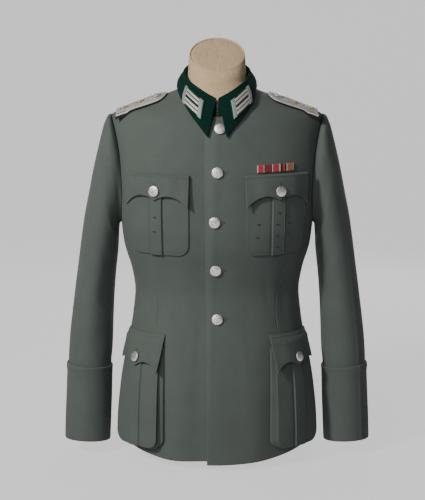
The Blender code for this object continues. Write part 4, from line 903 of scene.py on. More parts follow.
def sleeve_rings(turns):
    """The left sleeve's rings at some turns, from the armhole's own points down to the wrist."""
    share = np.where(turns <= math.pi, 1 - turns / math.pi, turns / math.pi - 1)
    angle, z = armhole(share, np.where(turns <= math.pi, ARMHOLE_BACK, -ARMHOLE_FRONT))
    start = body(angle, z)
    start += unit(start.mean(axis=0) - start) * SEAM
    rings = [start]
    for row in SLEEVE:
        outer, inner = np.array([row.outer_x, 0, row.outer_z]), np.array([row.inner_x, 0, row.inner_z])
        across, along = np.cos(turns)[:, None], np.sin(turns)
        p = (outer + inner) / 2 + (outer - inner) / 2 * across
        p[:, 1] = row.middle_y + row.half_depth * along
        p[:, 0] -= row.scoop * along**2
        rings.append(p)
    rings = np.array(rings)
    first = CUFF_FIRST - 1
    for i in range(first, len(rings)):
        tilt = CUFF_TILT * (i - first) / (len(rings) - 1 - first)
        rings[i, :, 2] -= tilt * (rings[i, :, 1] - rings[i, :, 1].mean())
    return rings


def sleeve_surface(turns, at):
    """Points, outward directions and lengths down the sleeve at ring places, with its creases in them."""
    rings = sleeve_rings(turns)
    points = Curve(np.arange(len(rings)), rings)(at)
    normals = -grid_normals(points, closed=True)
    degrees = np.degrees(turns)[None, :]
    at = at[:, None]
    lift = np.zeros(points.shape[:2])
    for c in SLEEVE_CREASES:
        off = half_turn(degrees - c.turn - c.lean * (at - c.ring))
        lift += c.out * np.exp(-((off / c.degrees) ** 2) - ((at - c.ring) / c.rings) ** 2)
    lift *= smooth(at / 1.2)
    lift += PRESSED_RISE * bell(half_turn(degrees - PRESSED_TURN), PRESSED_DEGREES) * smooth((at - 2.0) / 2.0)
    lift -= BACK_SEAM_DEPTH * bell(half_turn(degrees - BACK_SEAM_TURN), BACK_SEAM_DEGREES) * smooth(at - 0.5)
    down = lengths(points, 0)[0]
    head = bell(down - HEAD_DOWN, HEAD_REACH) * np.clip(np.cos(turns)[None, :] + 0.35, 0, 1)
    lift += HEAD_RISE * head - rolled(down, SEAM_ROLL)
    return points + normals * lift[..., None], normals, down


def sleeve_and_cuff(side):
    turns = np.linspace(0, 2 * math.pi, SLEEVE_TURNS, endpoint=False)
    at = np.concatenate([[0, 0.02, 0.05, 0.09, 0.15, 0.23], np.linspace(0.33, 14, SLEEVE_ROWS)])
    points, normals, down = sleeve_surface(turns, at)
    flip = np.array([side, 1, 1])
    wide = np.concatenate([turns, [2 * math.pi]])
    uv = stacked(wide[None, :] * SLEEVE_RADIUS * side, 1.0 - down[:, :1])
    name = side_name(side)
    inner = points - normals * SLEEVE_WALL
    sleeve = shell(f"sleeve_{name}_cloth", points * flip, inner * flip, uv, GABARDINE, closed=True)
    dressed(sleeve, [f"sleeve_{name}"])
    stitched = [ring / CUFF_RINGS for ring in CUFF_STITCH_AT]
    at = CUFF_FIRST + stops(CUFF_RINGS, CUFF_STEPS, CUFF_SPACING, stitched) * CUFF_RINGS
    points, normals, down = sleeve_surface(turns, at)
    edge = np.minimum(down, down[-1:] - down)
    lift = CUFF_GAP + CUFF_LIFT + CUFF_FLARE * bell(down, CUFF_FLARE_REACH) - rolled(edge, *CUFF_ROLL)
    lift = lift - STITCH_DIP * bell(down - CUFF_STITCH, 0.0008)
    outer, inner = points + normals * lift[..., None], points + normals * CUFF_GAP
    outer[-1, :, 2] -= CUFF_GAP
    inner[-1, :, 2] -= CUFF_GAP
    uv = stacked(wide[None, :] * CUFF_RADIUS * side, 0.4 - down[:, :1])
    cuff = shell(f"cuff_{name}_cloth", outer * flip, inner * flip, uv, GABARDINE, closed=True)
    dressed(cuff, [f"cuff_{name}"])
    row = nearest(down[:, 0], CUFF_STITCH)
    STITCH_LINES.append(np.concatenate([outer[row], outer[row, :1]]) * flip)


# The collar
def collar_section(turn):
    """Corner points of the collar's visible face, from the stand's foot over the fold to the fall's edge."""
    side = np.where(turn >= 0, 1.0, -1.0)
    angle = 180 - np.abs(turn)
    value = {name: curve(angle) for name, curve in COLLAR_CURVES.items()}
    fold = stacked(side * value["fold_x"], value["fold_y"], value["fold_z"])
    edge = stacked(side * value["edge_x"], value["edge_y"], value["edge_z"])
    around = np.radians(angle)
    half_width, front, back = STAND_HOLE
    foot_x = side * half_width * np.sin(around)
    foot_y = np.where(np.cos(around) > 0, -front, -back) * np.cos(around)
    foot = stacked(foot_x, foot_y, shoulder_height(foot_x, foot_y) + 0.0006)
    out = unit(fold * (1, 1, 0))
    up = np.array([0, 0, 1.0])
    r = COLLAR_FOLD
    before, after = fold - out * r - up * r, fold + out * r - up * r
    bulge = out * COLLAR_BULGE[0] + up * COLLAR_BULGE[1]
    return np.stack([
        foot, mix(foot, before, 0.5) + out * 0.0008, before, fold - out * r * 0.75 - up * r * 0.30, fold,
        fold + out * r * 0.75 - up * r * 0.30, after, mix(after, edge, 0.33) + bulge,
        mix(after, edge, 0.67) + bulge, edge,
    ], axis=-2)


COLLAR_AT = (0, 1, 2, 2.35, 2.7, 3.05, 3.4, 4.4, 5.4, 6.4)  # where the section's corners lie along it


def collar_points(turns, at):
    """The collar's face at some turns from centre back and places along its section."""
    corners = collar_section(turns)
    return np.moveaxis(Curve(COLLAR_AT, np.moveaxis(corners, -2, 0))(at), 0, -2)


def collar():
    reach = 180 - COLLAR[0].angle
    turns = (stops(2.0 * reach, (0.4, 1.0, 1.9, 3.0), 3.0) * 2 - 1) * reach
    stand, fold, fall = np.linspace(0, 2, 12), np.linspace(2, 3.4, 15), np.linspace(3.4, 6.2, 26)
    at = np.unique(np.concatenate([stand, fold, fall, (6.25, 6.3, 6.35, 6.38, 6.4)]))
    points = collar_points(turns, at)
    normals = grid_normals(points, closed=False)
    middle = len(turns) // 2
    if normals[middle, -5, 1] < 0:
        normals = -normals
    down = lengths(points, 1)[1]
    along = np.minimum(*lengths(points, 0))
    edge = np.minimum(down, along)
    soft = 0.0007 * np.sin(turns[:, None] * 0.11) * smooth((at[None, :] - 3.8) / 2)
    fine = points + normals * (soft - rolled(edge, 0.0010, 0.0024))[..., None]
    uv = stacked(lengths(points, 0)[0], lengths(points, 1)[0])
    piece = shell("collar_cloth", fine, points - normals * COLLAR_WALL, uv, BADGE_CLOTH)
    dressed(piece, ["collar"])


# The dress form
FORM_AROUND = 112
FORM_TURNS = 2 * math.pi * (np.arange(FORM_AROUND) + 0.5) / FORM_AROUND
# Rings of the neck's cap: how far in each is from the edge, and how far it rises; the seam is the groove
CAP_RINGS = (
    (0.0002, 0.0006), (0.0008, 0.0013), (0.0018, 0.0015), (0.0027, 0.0004), (0.0032, -0.0012),
    (0.0038, -0.0002), (0.0055, 0.0003), (0.012, 0.0008), (0.022, 0.0010), (0.034, 0.0011), (0.046, 0.0011),
    (0.0545, 0.0011),
)


def form_ring(z):
    """A ring of the dress form, inside the cloth, with its arm plates flat."""
    angle = np.where(FORM_TURNS > math.pi, FORM_TURNS - 2 * math.pi, FORM_TURNS)
    outward = normal_at(angle, z)
    outward[:, 2] *= smooth((z - 0.62) / 0.05)
    p = ring_point(angle, np.full(FORM_AROUND, z)) - unit(outward) * INSET(z)
    p[:, 0] = np.clip(p[:, 0], -FORM_ARM_PLATE, FORM_ARM_PLATE)
    return p


def neck_ring(share, inset=0.0, rise=0.0):
    """A ring of the form's neck, from its root up to the slanting cap."""
    at = share * (len(NECK_SECTIONS) - 1)
    i = min(int(at), len(NECK_SECTIONS) - 2)
    half_width, half_depth = (mix(NECK_SECTIONS[i][k], NECK_SECTIONS[i + 1][k], at - i) for k in (0, 1))
    x, y = np.sin(FORM_TURNS), -np.cos(FORM_TURNS)
    cap = NECK_CAP_Z + math.tan(NECK_CAP_TILT) * y * NECK_SECTIONS[-1][1]
    p = stacked((half_width - inset) * x, (half_depth - inset) * y, mix(FORM_TOP + 0.014, cap, share))
    lean = np.array([0, -math.sin(NECK_CAP_TILT), math.cos(NECK_CAP_TILT)])
    if inset:
        shrink = 1 - inset / half_width
        middle = np.array([0, 0, NECK_CAP_Z])
        p = middle + (neck_ring(share) - middle) * shrink
    return p + lean * rise


def dress_form():
    """A linen torso, seamed where the neck's slanting cap is sewn in."""
    body_levels, shoulder_levels = np.linspace(0.02, 0.70, 42), np.linspace(0.705, FORM_TOP, 10)
    levels = np.concatenate([[0, 0.003, 0.006], body_levels, shoulder_levels])
    rings = [form_ring(z) for z in levels] + [neck_ring(s) for s in np.linspace(0, 0.985, 20)]
    rings += [neck_ring(1.0, inset, rise) for inset, rise in CAP_RINGS]
    grid = np.array(rings)
    rows, cols = grid.shape[:2]
    i, j, faces = grid_faces(rows, cols)
    up = lengths(grid, 0)[0]
    turn = 2 * math.pi * np.arange(cols + 1) / cols
    round_uv = stacked(turn[None, :] * 0.06, up[:, :1])
    on_cap = np.arange(rows) >= rows - len(CAP_RINGS) + 2
    flat = grid[:, list(range(cols)) + [0]][..., :2] * (1, 1 / math.cos(NECK_CAP_TILT))
    uv = np.where(on_cap[:, None, None], flat + CAP_PLACE, round_uv)
    seam = rows - len(CAP_RINGS) + 1
    places = np.stack([uv[i, j], uv[i, j + 1], uv[i + 1, j + 1], uv[i + 1, j]], axis=1)
    at_seam = i == seam
    places[at_seam, :2] = places[at_seam][:, [3, 2]]
    points = np.concatenate([grid.reshape(-1, 3), [[0, 0, 0.0]], [[0, 0, NECK_CAP_Z + 0.0011]]])
    low, high = rows * cols, rows * cols + 1
    fans = [(low, (n + 1) % cols, n) for n in range(cols)]
    fans += [(high, (rows - 1) * cols + n, (rows - 1) * cols + (n + 1) % cols) for n in range(cols)]
    tail = [(p[0], p[1]) for fan in fans for p in points[list(fan), :2]]
    uvs = np.concatenate([places.reshape(-1, 2), tail])
    piece = make_object("linen_form", points, faces.tolist() + fans, uvs, [LINEN], sharp=55)
    dressed(piece, ["dress_form"])


# Pockets lie on the body from an arc length round from centre front, on both sides
POCKET_SPACING = 0.0034
Pocket = namedtuple("Pocket", "near far top bottom corner pleat pleat_rise")
CHEST_POCKET = Pocket(0.055, 0.184, 0.572, 0.423, 0.022, 0.0250, 0.0022)
SKIRT_POCKET = Pocket(0.116, 0.217, 0.240, 0.041, 0.020, 0.0240, 0.0013)
GUSSET_SLANT, GUSSET_RISE, GUSSET_TUCK, GUSSET_ROWS = 0.010, 0.6, 0.0075, 9
GUSSET_INSIDE, GUSSET_STITCH, GUSSET_WALL = 0.0012, 0.0014, 0.0016
BELLOWS = ((0.040, 0.0150), (0.090, 0.0140), (0.150, 0.0105), (0.210, 0.0048), (0.240, 0.0012))
BELLOWS_SWELL = 0.35  # it stands this share further off at the pocket's far side
BELLOWS_CURVE = Curve([z for z, _ in BELLOWS], [out for _, out in BELLOWS])
Flap = namedtuple("Flap", "near far top corner_drop far_drop scallop_drop point_drop slant stand_off tilt")
CHEST_FLAP = Flap(0.053, 0.186, 0.580, 0.0635, 0.0635, 0.0430, 0.0515, 0.002, 0.007, 0.035)
SKIRT_FLAP = Flap(0.104, 0.223, 0.264, 0.0750, 0.0600, 0.0565, 0.0675, 0.010, 0.008, 0.0)
CHEST_FLAP_TURN, SKIRT_FLAP_TURN, ARCH_ROUNDNESS = 0.0038, 0.0200, 0.8
# Shares of a flap's width from its middle: how far it is raised by the pleat, and how far that fades
PLEAT_REACH, PLEAT_FADE = 0.20, 0.20
TOPSTITCH, FLAP_TOP_STITCH = 0.0052, 0.0075  # how far the visible stitching is from an edge, and a flap's top


def rounded_bottom(pocket, share):
    """How far up a pocket's lower edge is at a share of its width, with its corners rounded."""
    from_side = np.minimum(share, 1 - share) * (pocket.far - pocket.near)
    beside = np.clip(pocket.corner - from_side, 0, None)
    return pocket.corner - np.sqrt(np.maximum(pocket.corner**2 - beside**2, 0.0))


def pleat_height(pocket, share):
    """The box pleat: a raised band with sharp folds, stitched near them, and a valley at each side."""
    inside = pocket.pleat / 2 - np.abs(share - 0.5) * (pocket.far - pocket.near)
    band = smooth(inside / 0.0007 + 0.5) * (pocket.pleat_rise + 0.0006)
    return band + 0.0005 * bell(inside - 0.0011, 0.0007) - 0.0010 * bell(inside + 0.0018, 0.0016)


def pocket_grid(pocket):
    """Shares of a pocket's width and height for its rows of points."""
    width, height = pocket.far - pocket.near, pocket.top - pocket.bottom
    folds = [0.5 + s * pocket.pleat / 2 / width + np.arange(-9, 10) * 0.00035 / width for s in (-1, 1)]
    across = stops(width, EDGE_STEPS, POCKET_SPACING, np.concatenate(folds))
    return across, stops(height, EDGE_STEPS, POCKET_SPACING)


def bellows(share, z):
    """How far the bellows holds a pocket's face off the skirt at a share of its width."""
    return BELLOWS_CURVE(z) * (1 + BELLOWS_SWELL * share**2)


def pocket_face(pocket, side, stand, tilt):
    """A pocket's outer and inner points, its texture places and its lines of stitching."""
    across, up = pocket_grid(pocket)
    low = pocket.bottom + rounded_bottom(pocket, across)
    z = mix(low[None, :], pocket.top, up[:, None])
    arc = mix(pocket.near, pocket.far, across)[None, :] + np.zeros_like(z)
    flat = stacked(arc, z, 0.0)
    z = z + tilt * (arc - pocket.near)
    from_near, from_far = lengths(flat, 1)
    edge = np.minimum(np.minimum(from_near, from_far), lengths(flat, 0)[0])
    lift = LAYER + POCKET_WALL + stand(across[None, :], z) + pleat_height(pocket, across)[None, :]
    ripple = 0.0006 * np.sin(arc * 61 + z * 17 + side) * np.sin(z * 43 + 1.3 * side)
    lift = lift + ripple * smooth(edge / 0.02)
    lift = lift - rolled(edge, *POCKET_ROLL) - STITCH_DIP * bell(edge - TOPSTITCH, STITCH_DIP_WIDTH)
    outer = on_body(side * arc, z, lift)
    inner = on_body(side * arc, z, lift - POCKET_WALL)
    uv = stacked(arc, z)
    at_low = nearest(up * (pocket.top - pocket.bottom), TOPSTITCH)
    at_near = nearest(across * (pocket.far - pocket.near), TOPSTITCH)
    ring = np.concatenate([
        outer[at_low:, at_near][::-1], outer[at_low, at_near : len(across) - at_near],
        outer[at_low:, len(across) - 1 - at_near],
    ])
    STITCH_LINES.append(ring)
    return outer, inner, uv, across, up


def chest_pocket(side):
    """A patch pocket with a box pleat."""
    outer, inner, uv, _, _ = pocket_face(CHEST_POCKET, side, lambda share, z: 0.0, CHEST_FLAP.tilt)
    name = f"chest_pocket_{side_name(side)}"
    piece = shell(f"{name}_cloth", outer, inner, uv, GABARDINE)
    dressed(piece, [name])


def skirt_pocket(side):
    """A bellows pocket: a face with a box pleat, held off the skirt by a gusset round its sides and foot."""
    pocket = SKIRT_POCKET
    outer, inner, uv, across, up = pocket_face(pocket, side, bellows, 0.0)
    name = f"skirt_pocket_{side_name(side)}"
    width = pocket.far - pocket.near
    parts = [shell_parts(outer, inner, uv)]
    rows, cols = outer.shape[:2]
    ring = [(i, 0) for i in range(rows - 1, 0, -1)] + [(0, j) for j in range(cols)]
    ring += [(i, cols - 1) for i in range(1, rows)]
    i, j = np.array(ring).T
    low = pocket.bottom + rounded_bottom(pocket, across[j])
    z = mix(low, pocket.top, up[i])
    share = across[j]
    beside = np.where(j == 0, -1.0, 0.0) + np.where(j == cols - 1, 1.0, 0.0)
    below = np.where(i == 0, -1.0, 0.0)
    run = smooth(np.minimum(share, 1 - share) * width / pocket.corner)
    beside = np.where(i == 0, np.sign(share - 0.5) * (1 - run), beside)
    below = np.where(i == 0, -np.maximum(run, 0.25), below)
    layers = []
    depth = bellows(share, z)
    for s in np.linspace(0, 1, GUSSET_ROWS):
        slant = -GUSSET_INSIDE + (GUSSET_SLANT + GUSSET_INSIDE) * s - GUSSET_TUCK * math.sin(math.pi * s)
        arc = mix(pocket.near, pocket.far, share) + beside * slant
        height = z + below * slant * GUSSET_RISE
        lift = LAYER + (depth + 0.0004) * (1 - s)
        layers.append((side * arc, height, lift))
    ring_outer = np.array([on_body(a, h, l + GUSSET_WALL / 2) for a, h, l in layers])
    ring_inner = np.array([
        on_body(a - side * beside * GUSSET_WALL, h - below * GUSSET_WALL, l) for a, h, l in layers
    ])
    gusset_uv = stacked(run_along(ring_outer[0])[None, :], np.linspace(0, 0.02, GUSSET_ROWS)[:, None])
    parts.append(shell_parts(ring_outer, ring_inner, gusset_uv))
    piece = joined(f"{name}_cloth", parts, [GABARDINE])
    seam_out = GUSSET_SLANT + GUSSET_STITCH
    seam_arc = side * (mix(pocket.near, pocket.far, share) + beside * seam_out)
    STITCH_LINES.append(on_body(seam_arc, z + below * seam_out * GUSSET_RISE, 0.0002))
    dressed(piece, [name])


def flap_edge(flap, share):
    """How far a flap's edge is below its top: two arches between its corners and a middle point."""
    from_middle = np.abs(share - 0.5) * 2
    arch = np.sin(math.pi * np.minimum(from_middle, 1.0)) ** ARCH_ROUNDNESS
    corner_drop = np.where(share < 0.5, flap.corner_drop, flap.far_drop)
    straight = mix(flap.point_drop, corner_drop, from_middle)
    return straight - arch * (mix(flap.point_drop, corner_drop, 0.5) - flap.scallop_drop)


def over_pleat(share):
    """How much of a pleat's rise its flap has at a share of its width: it settles beside the pleat."""
    return 1 - smooth((np.abs(share - 0.5) - PLEAT_REACH) / PLEAT_FADE)


def chest_flap_lift(share, drop):
    over_pocket = LAYER + POCKET_WALL + CHEST_POCKET.pleat_rise * over_pleat(share) + 2 * LAYER
    return mix(LAYER, over_pocket, smooth(drop / CHEST_FLAP_TURN))


def skirt_flap_lift(share, drop):
    z = np.minimum(SKIRT_FLAP.top - drop, SKIRT_POCKET.top)
    over_pocket = LAYER + POCKET_WALL + bellows(share, z) + SKIRT_POCKET.pleat_rise * over_pleat(share)
    return mix(LAYER, over_pocket + 2 * LAYER, smooth(drop / SKIRT_FLAP_TURN))


def flap_point(flap, side, share, drop, lift):
    """A point of a flap at a share of its width and a drop from its top edge."""
    slant = flap.slant * drop / flap.corner_drop
    lift = lift + flap.stand_off * (1 - share) ** 2 * (drop / flap.corner_drop) ** 2
    arc = mix(flap.near, flap.far, share) + slant * (1 - share)
    return on_body(side * arc, flap.top - drop + flap.tilt * (arc - flap.near), lift)


FLAP_TOP_DIP = 0.0005  # depth of the stitching along a flap's top
# How far a flap is drawn in at its button, over what reach, and how far its arches stand out
BUTTON_PULL, BUTTON_PULL_REACH, ARCH_RISE = 0.0007, 0.016, 0.0009


def pocket_flap(kind, side, flap, lift_at):
    """A scalloped flap, sewn on at its top and stitched round its edge."""
    width = flap.far - flap.near
    share = stops(width, EDGE_STEPS, 0.0026)
    down = stops(flap.corner_drop, EDGE_STEPS, 0.0030)
    drop = flap_edge(flap, share)[None, :] * down[:, None]
    wide = share[None, :] + np.zeros_like(drop)
    flat = stacked(mix(flap.near, flap.far, wide), -drop, 0.0)
    from_top, from_low = lengths(flat, 0)
    sides = np.minimum(*lengths(flat, 1))
    edge = np.minimum(sides, from_low)
    lift = lift_at(wide, drop) + FLAP_WALL - rolled(edge, *POCKET_ROLL)
    lift = lift - STITCH_DIP * bell(edge - TOPSTITCH, STITCH_DIP_WIDTH) * (from_top > 0.006)
    lift = lift + 0.0007 * bell(from_top - 0.0048, 0.0022)
    lift = lift - FLAP_TOP_DIP * bell(from_top - FLAP_TOP_STITCH, STITCH_DIP_WIDTH)
    from_button = drop - flap.point_drop + BUTTON_RISE
    middle = bell((wide - 0.5) * width, BUTTON_PULL_REACH) * bell(from_button, BUTTON_PULL_REACH)
    arches = np.sin(2 * math.pi * np.abs(wide - 0.5)) ** 2 * smooth(drop / flap.corner_drop)
    lift = lift - BUTTON_PULL * middle + ARCH_RISE * arches
    outer = flap_point(flap, side, wide, drop, lift)
    inner = flap_point(flap, side, wide, drop, lift - FLAP_WALL)
    uv = stacked(mix(flap.near, flap.far, wide), flap.top - drop)
    name = f"{kind}_flap_{side_name(side)}"
    piece = shell(f"{name}_cloth", outer, inner, uv, GABARDINE)
    low = nearest(down * flap.corner_drop, flap.corner_drop - TOPSTITCH)
    near = nearest(share * width, TOPSTITCH)
    far = len(share) - 1 - near
    top = nearest(down * flap.corner_drop, FLAP_TOP_STITCH)
    down_near, up_far = outer[top:low, near], outer[top:low, far][::-1]
    STITCH_LINES.append(np.concatenate([down_near, outer[low, near:far], up_far]))
    STITCH_LINES.append(outer[top])
    dressed(piece, [name])


# Buttons: radius and height of the dome, and the shank that it stands on
Button = namedtuple("Button", "radius dome shank")
FRONT_BUTTON = Button(0.0107, 0.0036, 0.0022)
POCKET_BUTTON = Button(0.0103, 0.0034, 0.0022)
BOARD_BUTTON = Button(0.0088, 0.0032, 0.0006)
FRONT_BUTTON_PLACES = ((0.0050, 0.6670), (0.0, 0.5850), (-0.0050, 0.4905), (-0.0030, 0.3960), (0.0, 0.2980))
BUTTON_RISE = 0.0185
BUTTON_AROUND, OVAL_POINTS, THREAD_SIDES = 40, 44, 6


def end_quads(first, sides):
    """Faces that close a ring of an even number of points, in the ring's own direction."""
    k = np.arange(1, sides - 1, 2)
    return first + np.stack([0 * k, k, k + 1, k + 2], axis=1)


def turned_parts(profile, place, outward):
    """A turned piece: rings of radius and height stood on a place, closed with a point at both ends."""
    outward = unit(outward)
    across = unit(np.cross((0, 0, 1.0), outward))
    turn = 2 * math.pi * np.arange(BUTTON_AROUND) / BUTTON_AROUND
    circle = np.cos(turn)[:, None] * across + np.sin(turn)[:, None] * np.cross(outward, across)
    rings = [place + r * circle + h * outward for r, h in profile]
    points = np.concatenate(rings)
    faces = grid_faces(len(rings), BUTTON_AROUND)[2]
    low, high = end_quads(0, BUTTON_AROUND), end_quads((len(rings) - 1) * BUTTON_AROUND, BUTTON_AROUND)
    faces = np.concatenate([faces, low[:, ::-1], high])
    if volume(points, faces) < 0:
        faces = faces[:, ::-1]
    return points, faces, np.zeros((len(faces), 4, 2))


def button_profile(size):
    """A domed face with a rolled rim, a flat back and a shank; the ends are rings too small to see."""
    rim, r = size.shank, size.radius
    arc = np.linspace(0.42, 1.5, 12)
    dome = [(r * math.cos(a), rim + size.dome * (0.34 + 0.66 * math.sin(a))) for a in arc]
    edge = [(0.985, 0.02), (1.0, 0.10), (1.0, 0.26), (0.985, 0.38), (0.955, 0.44), (0.925, 0.45)]
    profile = [(0.0002, 0), (r * 0.30, 0), (r * 0.34, rim * 0.4), (r * 0.40, rim * 0.95), (r * 0.90, rim)]
    profile += [(r * a, rim + size.dome * h) for a, h in edge]
    return profile + dome + [(0.0002, rim + size.dome)]


def metal_buttons(places, size, nodes):
    """One object for each button, standing on its place."""
    for (place, outward), node in zip(places, nodes):
        parts = [turned_parts(button_profile(size), place + outward * SEAM, outward)]
        piece = joined(f"{node}_metal", parts, [PEBBLED_SILVER], sharp=50)
        dressed(piece, [node])


def facing(point_at, step=0.002):
    """The place and outward direction of a face that a function of two small moves gives."""
    across, up = point_at(step, 0) - point_at(-step, 0), point_at(0, step) - point_at(0, -step)
    return point_at(0, 0), unit(np.cross(across, up))


def oval_parts(point_at, half_length, half_width, thickness, lengthwise_up):
    """A worked buttonhole: an oval cord of thread on a face."""
    turn = 2 * math.pi * np.arange(OVAL_POINTS) / OVAL_POINTS
    reach = half_length - half_width
    along = np.cos(turn) * half_width + np.sign(np.cos(turn)) * reach * smooth(np.abs(np.cos(turn)) * 4)
    across = np.sin(turn) * half_width
    moves = zip(across, along) if lengthwise_up else zip(along, across)
    line = [facing(lambda p, q, a=a, b=b: point_at(a + p, b + q), 0.001) for a, b in moves]
    places, outward = np.array([p for p, _ in line]), np.array([n for _, n in line])
    return tube_parts(places + outward * thickness * 0.25, outward, thickness / 2, THREAD_SIDES, closed=True)


def tube_parts(line, outward, radius, sides, closed=False, flat=1.0):
    """A tube along a line of points, with the outward direction at each; flat below one flattens it."""
    if closed:
        along = np.roll(line, -1, axis=0) - np.roll(line, 1, axis=0)
    else:
        along = np.gradient(line, axis=0)
    along = unit(along)
    across = unit(np.cross(along, outward))
    out = np.cross(across, along)
    turn = 2 * math.pi * np.arange(sides) / sides
    radius = np.broadcast_to(radius, (len(line),))[:, None, None]
    ring = np.cos(turn)[None, :, None] * across[:, None] + flat * np.sin(turn)[None, :, None] * out[:, None]
    grid = line[:, None] + radius * ring
    run = run_along(line)
    step = run[1]
    rows = len(line)
    points = grid.reshape(-1, 3)
    i, j, faces = grid_faces(rows, sides, round_rows=closed)
    u, v = run[i], j / sides
    beside, next_u = v + 1 / sides, u + step
    corners = (u, v), (u, beside), (next_u, beside), (next_u, v)
    places = np.stack([stacked(*corner) for corner in corners], axis=1)
    if not closed:
        caps = [end_quads(0, sides)[:, ::-1], end_quads((rows - 1) * sides, sides)]
        faces = np.concatenate([faces, *caps])
        places = np.concatenate([places, np.zeros((2 * len(caps[0]), 4, 2))])
    if volume(points, faces) < 0:
        faces, places = faces[:, ::-1], places[:, ::-1]
    return points, faces, places


# Small things that are sewn on
def front_buttons():
    places = [facing(lambda a, b, x=x, z=z: on_body(x + a, z + b)) for x, z in FRONT_BUTTON_PLACES]
    nodes = [f"front_button_{k + 1}" for k in range(len(FRONT_BUTTON_PLACES))]
    metal_buttons(places, FRONT_BUTTON, nodes)


def flap_face(flap, side, lift_at):
    """A function of two small moves about the place of a flap's button."""
    drop = flap.point_drop - BUTTON_RISE
    width = flap.far - flap.near

    def face(a, b):
        share = 0.5 + side * a / width
        return flap_point(flap, side, share, drop - b, lift_at(share, drop - b) + FLAP_WALL - 0.0005)

    return face


FLAPS = (("chest", CHEST_FLAP, chest_flap_lift), ("skirt", SKIRT_FLAP, skirt_flap_lift))


def flap_buttons():
    for kind, flap, lift_at in FLAPS:
        for side in (1, -1):
            place = facing(flap_face(flap, side, lift_at))
            metal_buttons([place], POCKET_BUTTON, [f"{kind}_button_{side_name(side)}"])


# Buttonholes: how far each one's middle is from its button's, and its half length, half width and thread
HOLE_BESIDE, HOLE_ABOVE = 0.0060, 0.0040
FRONT_HOLE, FLAP_HOLE = (0.0120, 0.0019, 0.0013), (0.0115, 0.0017, 0.0012)


def buttonholes():
    """Worked buttonholes: across beside each front button and upright above each flap's button."""
    parts = []
    for x, z in FRONT_BUTTON_PLACES:
        at = lambda a, b, x=x, z=z: on_body(x + HOLE_BESIDE + a, z + b, 0.0002)
        parts.append(oval_parts(at, *FRONT_HOLE, False))
    for _, flap, lift_at in FLAPS:
        for side in (1, -1):
            face = flap_face(flap, side, lift_at)
            at = lambda a, b, face=face: face(a, b + HOLE_ABOVE)
            parts.append(oval_parts(at, *FLAP_HOLE, True))
    piece = joined("buttonholes", parts, [THREAD])
    dressed(piece)


LOOP_HALF, LOOP_RISE, LOOP_RADIUS = 0.0028, 0.0016, 0.0007  # half length, standing out, thread's radius
# Loops of thread for badges on the breast pockets: across from the pocket's middle, and height
RIGHT_LOOPS = ((0.001, 0.499), (0.002, 0.472))
LEFT_LOOPS = (
    (-0.040, 0.486), (-0.042, 0.461), (-0.001, 0.508), (-0.004, 0.486), (-0.004, 0.464), (-0.003, 0.442),
    (0.024, 0.487), (0.023, 0.467),
)


def thread_loops():
    parts = []
    middle = (CHEST_POCKET.near + CHEST_POCKET.far) / 2
    for side, loops in ((-1, RIGHT_LOOPS), (1, LEFT_LOOPS)):
        for across, z in loops:
            share = 0.5 + across / (CHEST_POCKET.far - CHEST_POCKET.near)
            lift = LAYER + POCKET_WALL + float(pleat_height(CHEST_POCKET, np.array(share)))
            s = np.linspace(-1, 1, 13)
            arc, height = side * (middle + across + LOOP_HALF * s), np.full(len(s), z)
            line = on_body(arc, height, lift + LOOP_RISE * (1 - s**2) + 0.0002)
            outward = normal_at(angle_of_arc(arc, height), height)
            parts.append(tube_parts(line, outward, LOOP_RADIUS, THREAD_SIDES))
    piece = joined("badge_loops", parts, [LOOP_THREAD_WITH_PAINTED_SHADE])
    dressed(piece)


# Shoulder boards
BOARD_OUTER, BOARD_INNER, BOARD_WIDTH, BOARD_MIDDLE_Y = 0.2005, 0.0985, 0.045, -0.0255
BOARD_WALL, BOARD_LIFT, BOARD_RISE, BOARD_BENT_TO = 0.0040, 0.0009, 0.0014, 0.178
BOARD_BUTTON_X = 0.1200
CORD_PLACES = (0.00350, 0.00870, 0.01390, 0.01910)  # the cords' distances from the board's centre line
CORD_RADIUS, CORD_FLAT, CORD_LIFT = 0.00258, 0.58, 0.0028
BOARD_BASE = 0.0019  # thickness of the cloth that the cords lie on


def board_height(x, y):
    """A shoulder board's underside over a point of the plan. It follows the shoulder, but not its tip."""
    share = (BOARD_OUTER - x) / (BOARD_OUTER - BOARD_INNER)
    bridge = BOARD_RISE * np.sin(math.pi * np.clip(share, 0, 1))
    bent_at = np.minimum(x, BOARD_BENT_TO)
    seat = shoulder_height(x, 0.0) + shoulder_height(bent_at, y) - shoulder_height(bent_at, 0.0)
    return seat + BOARD_LIFT + bridge


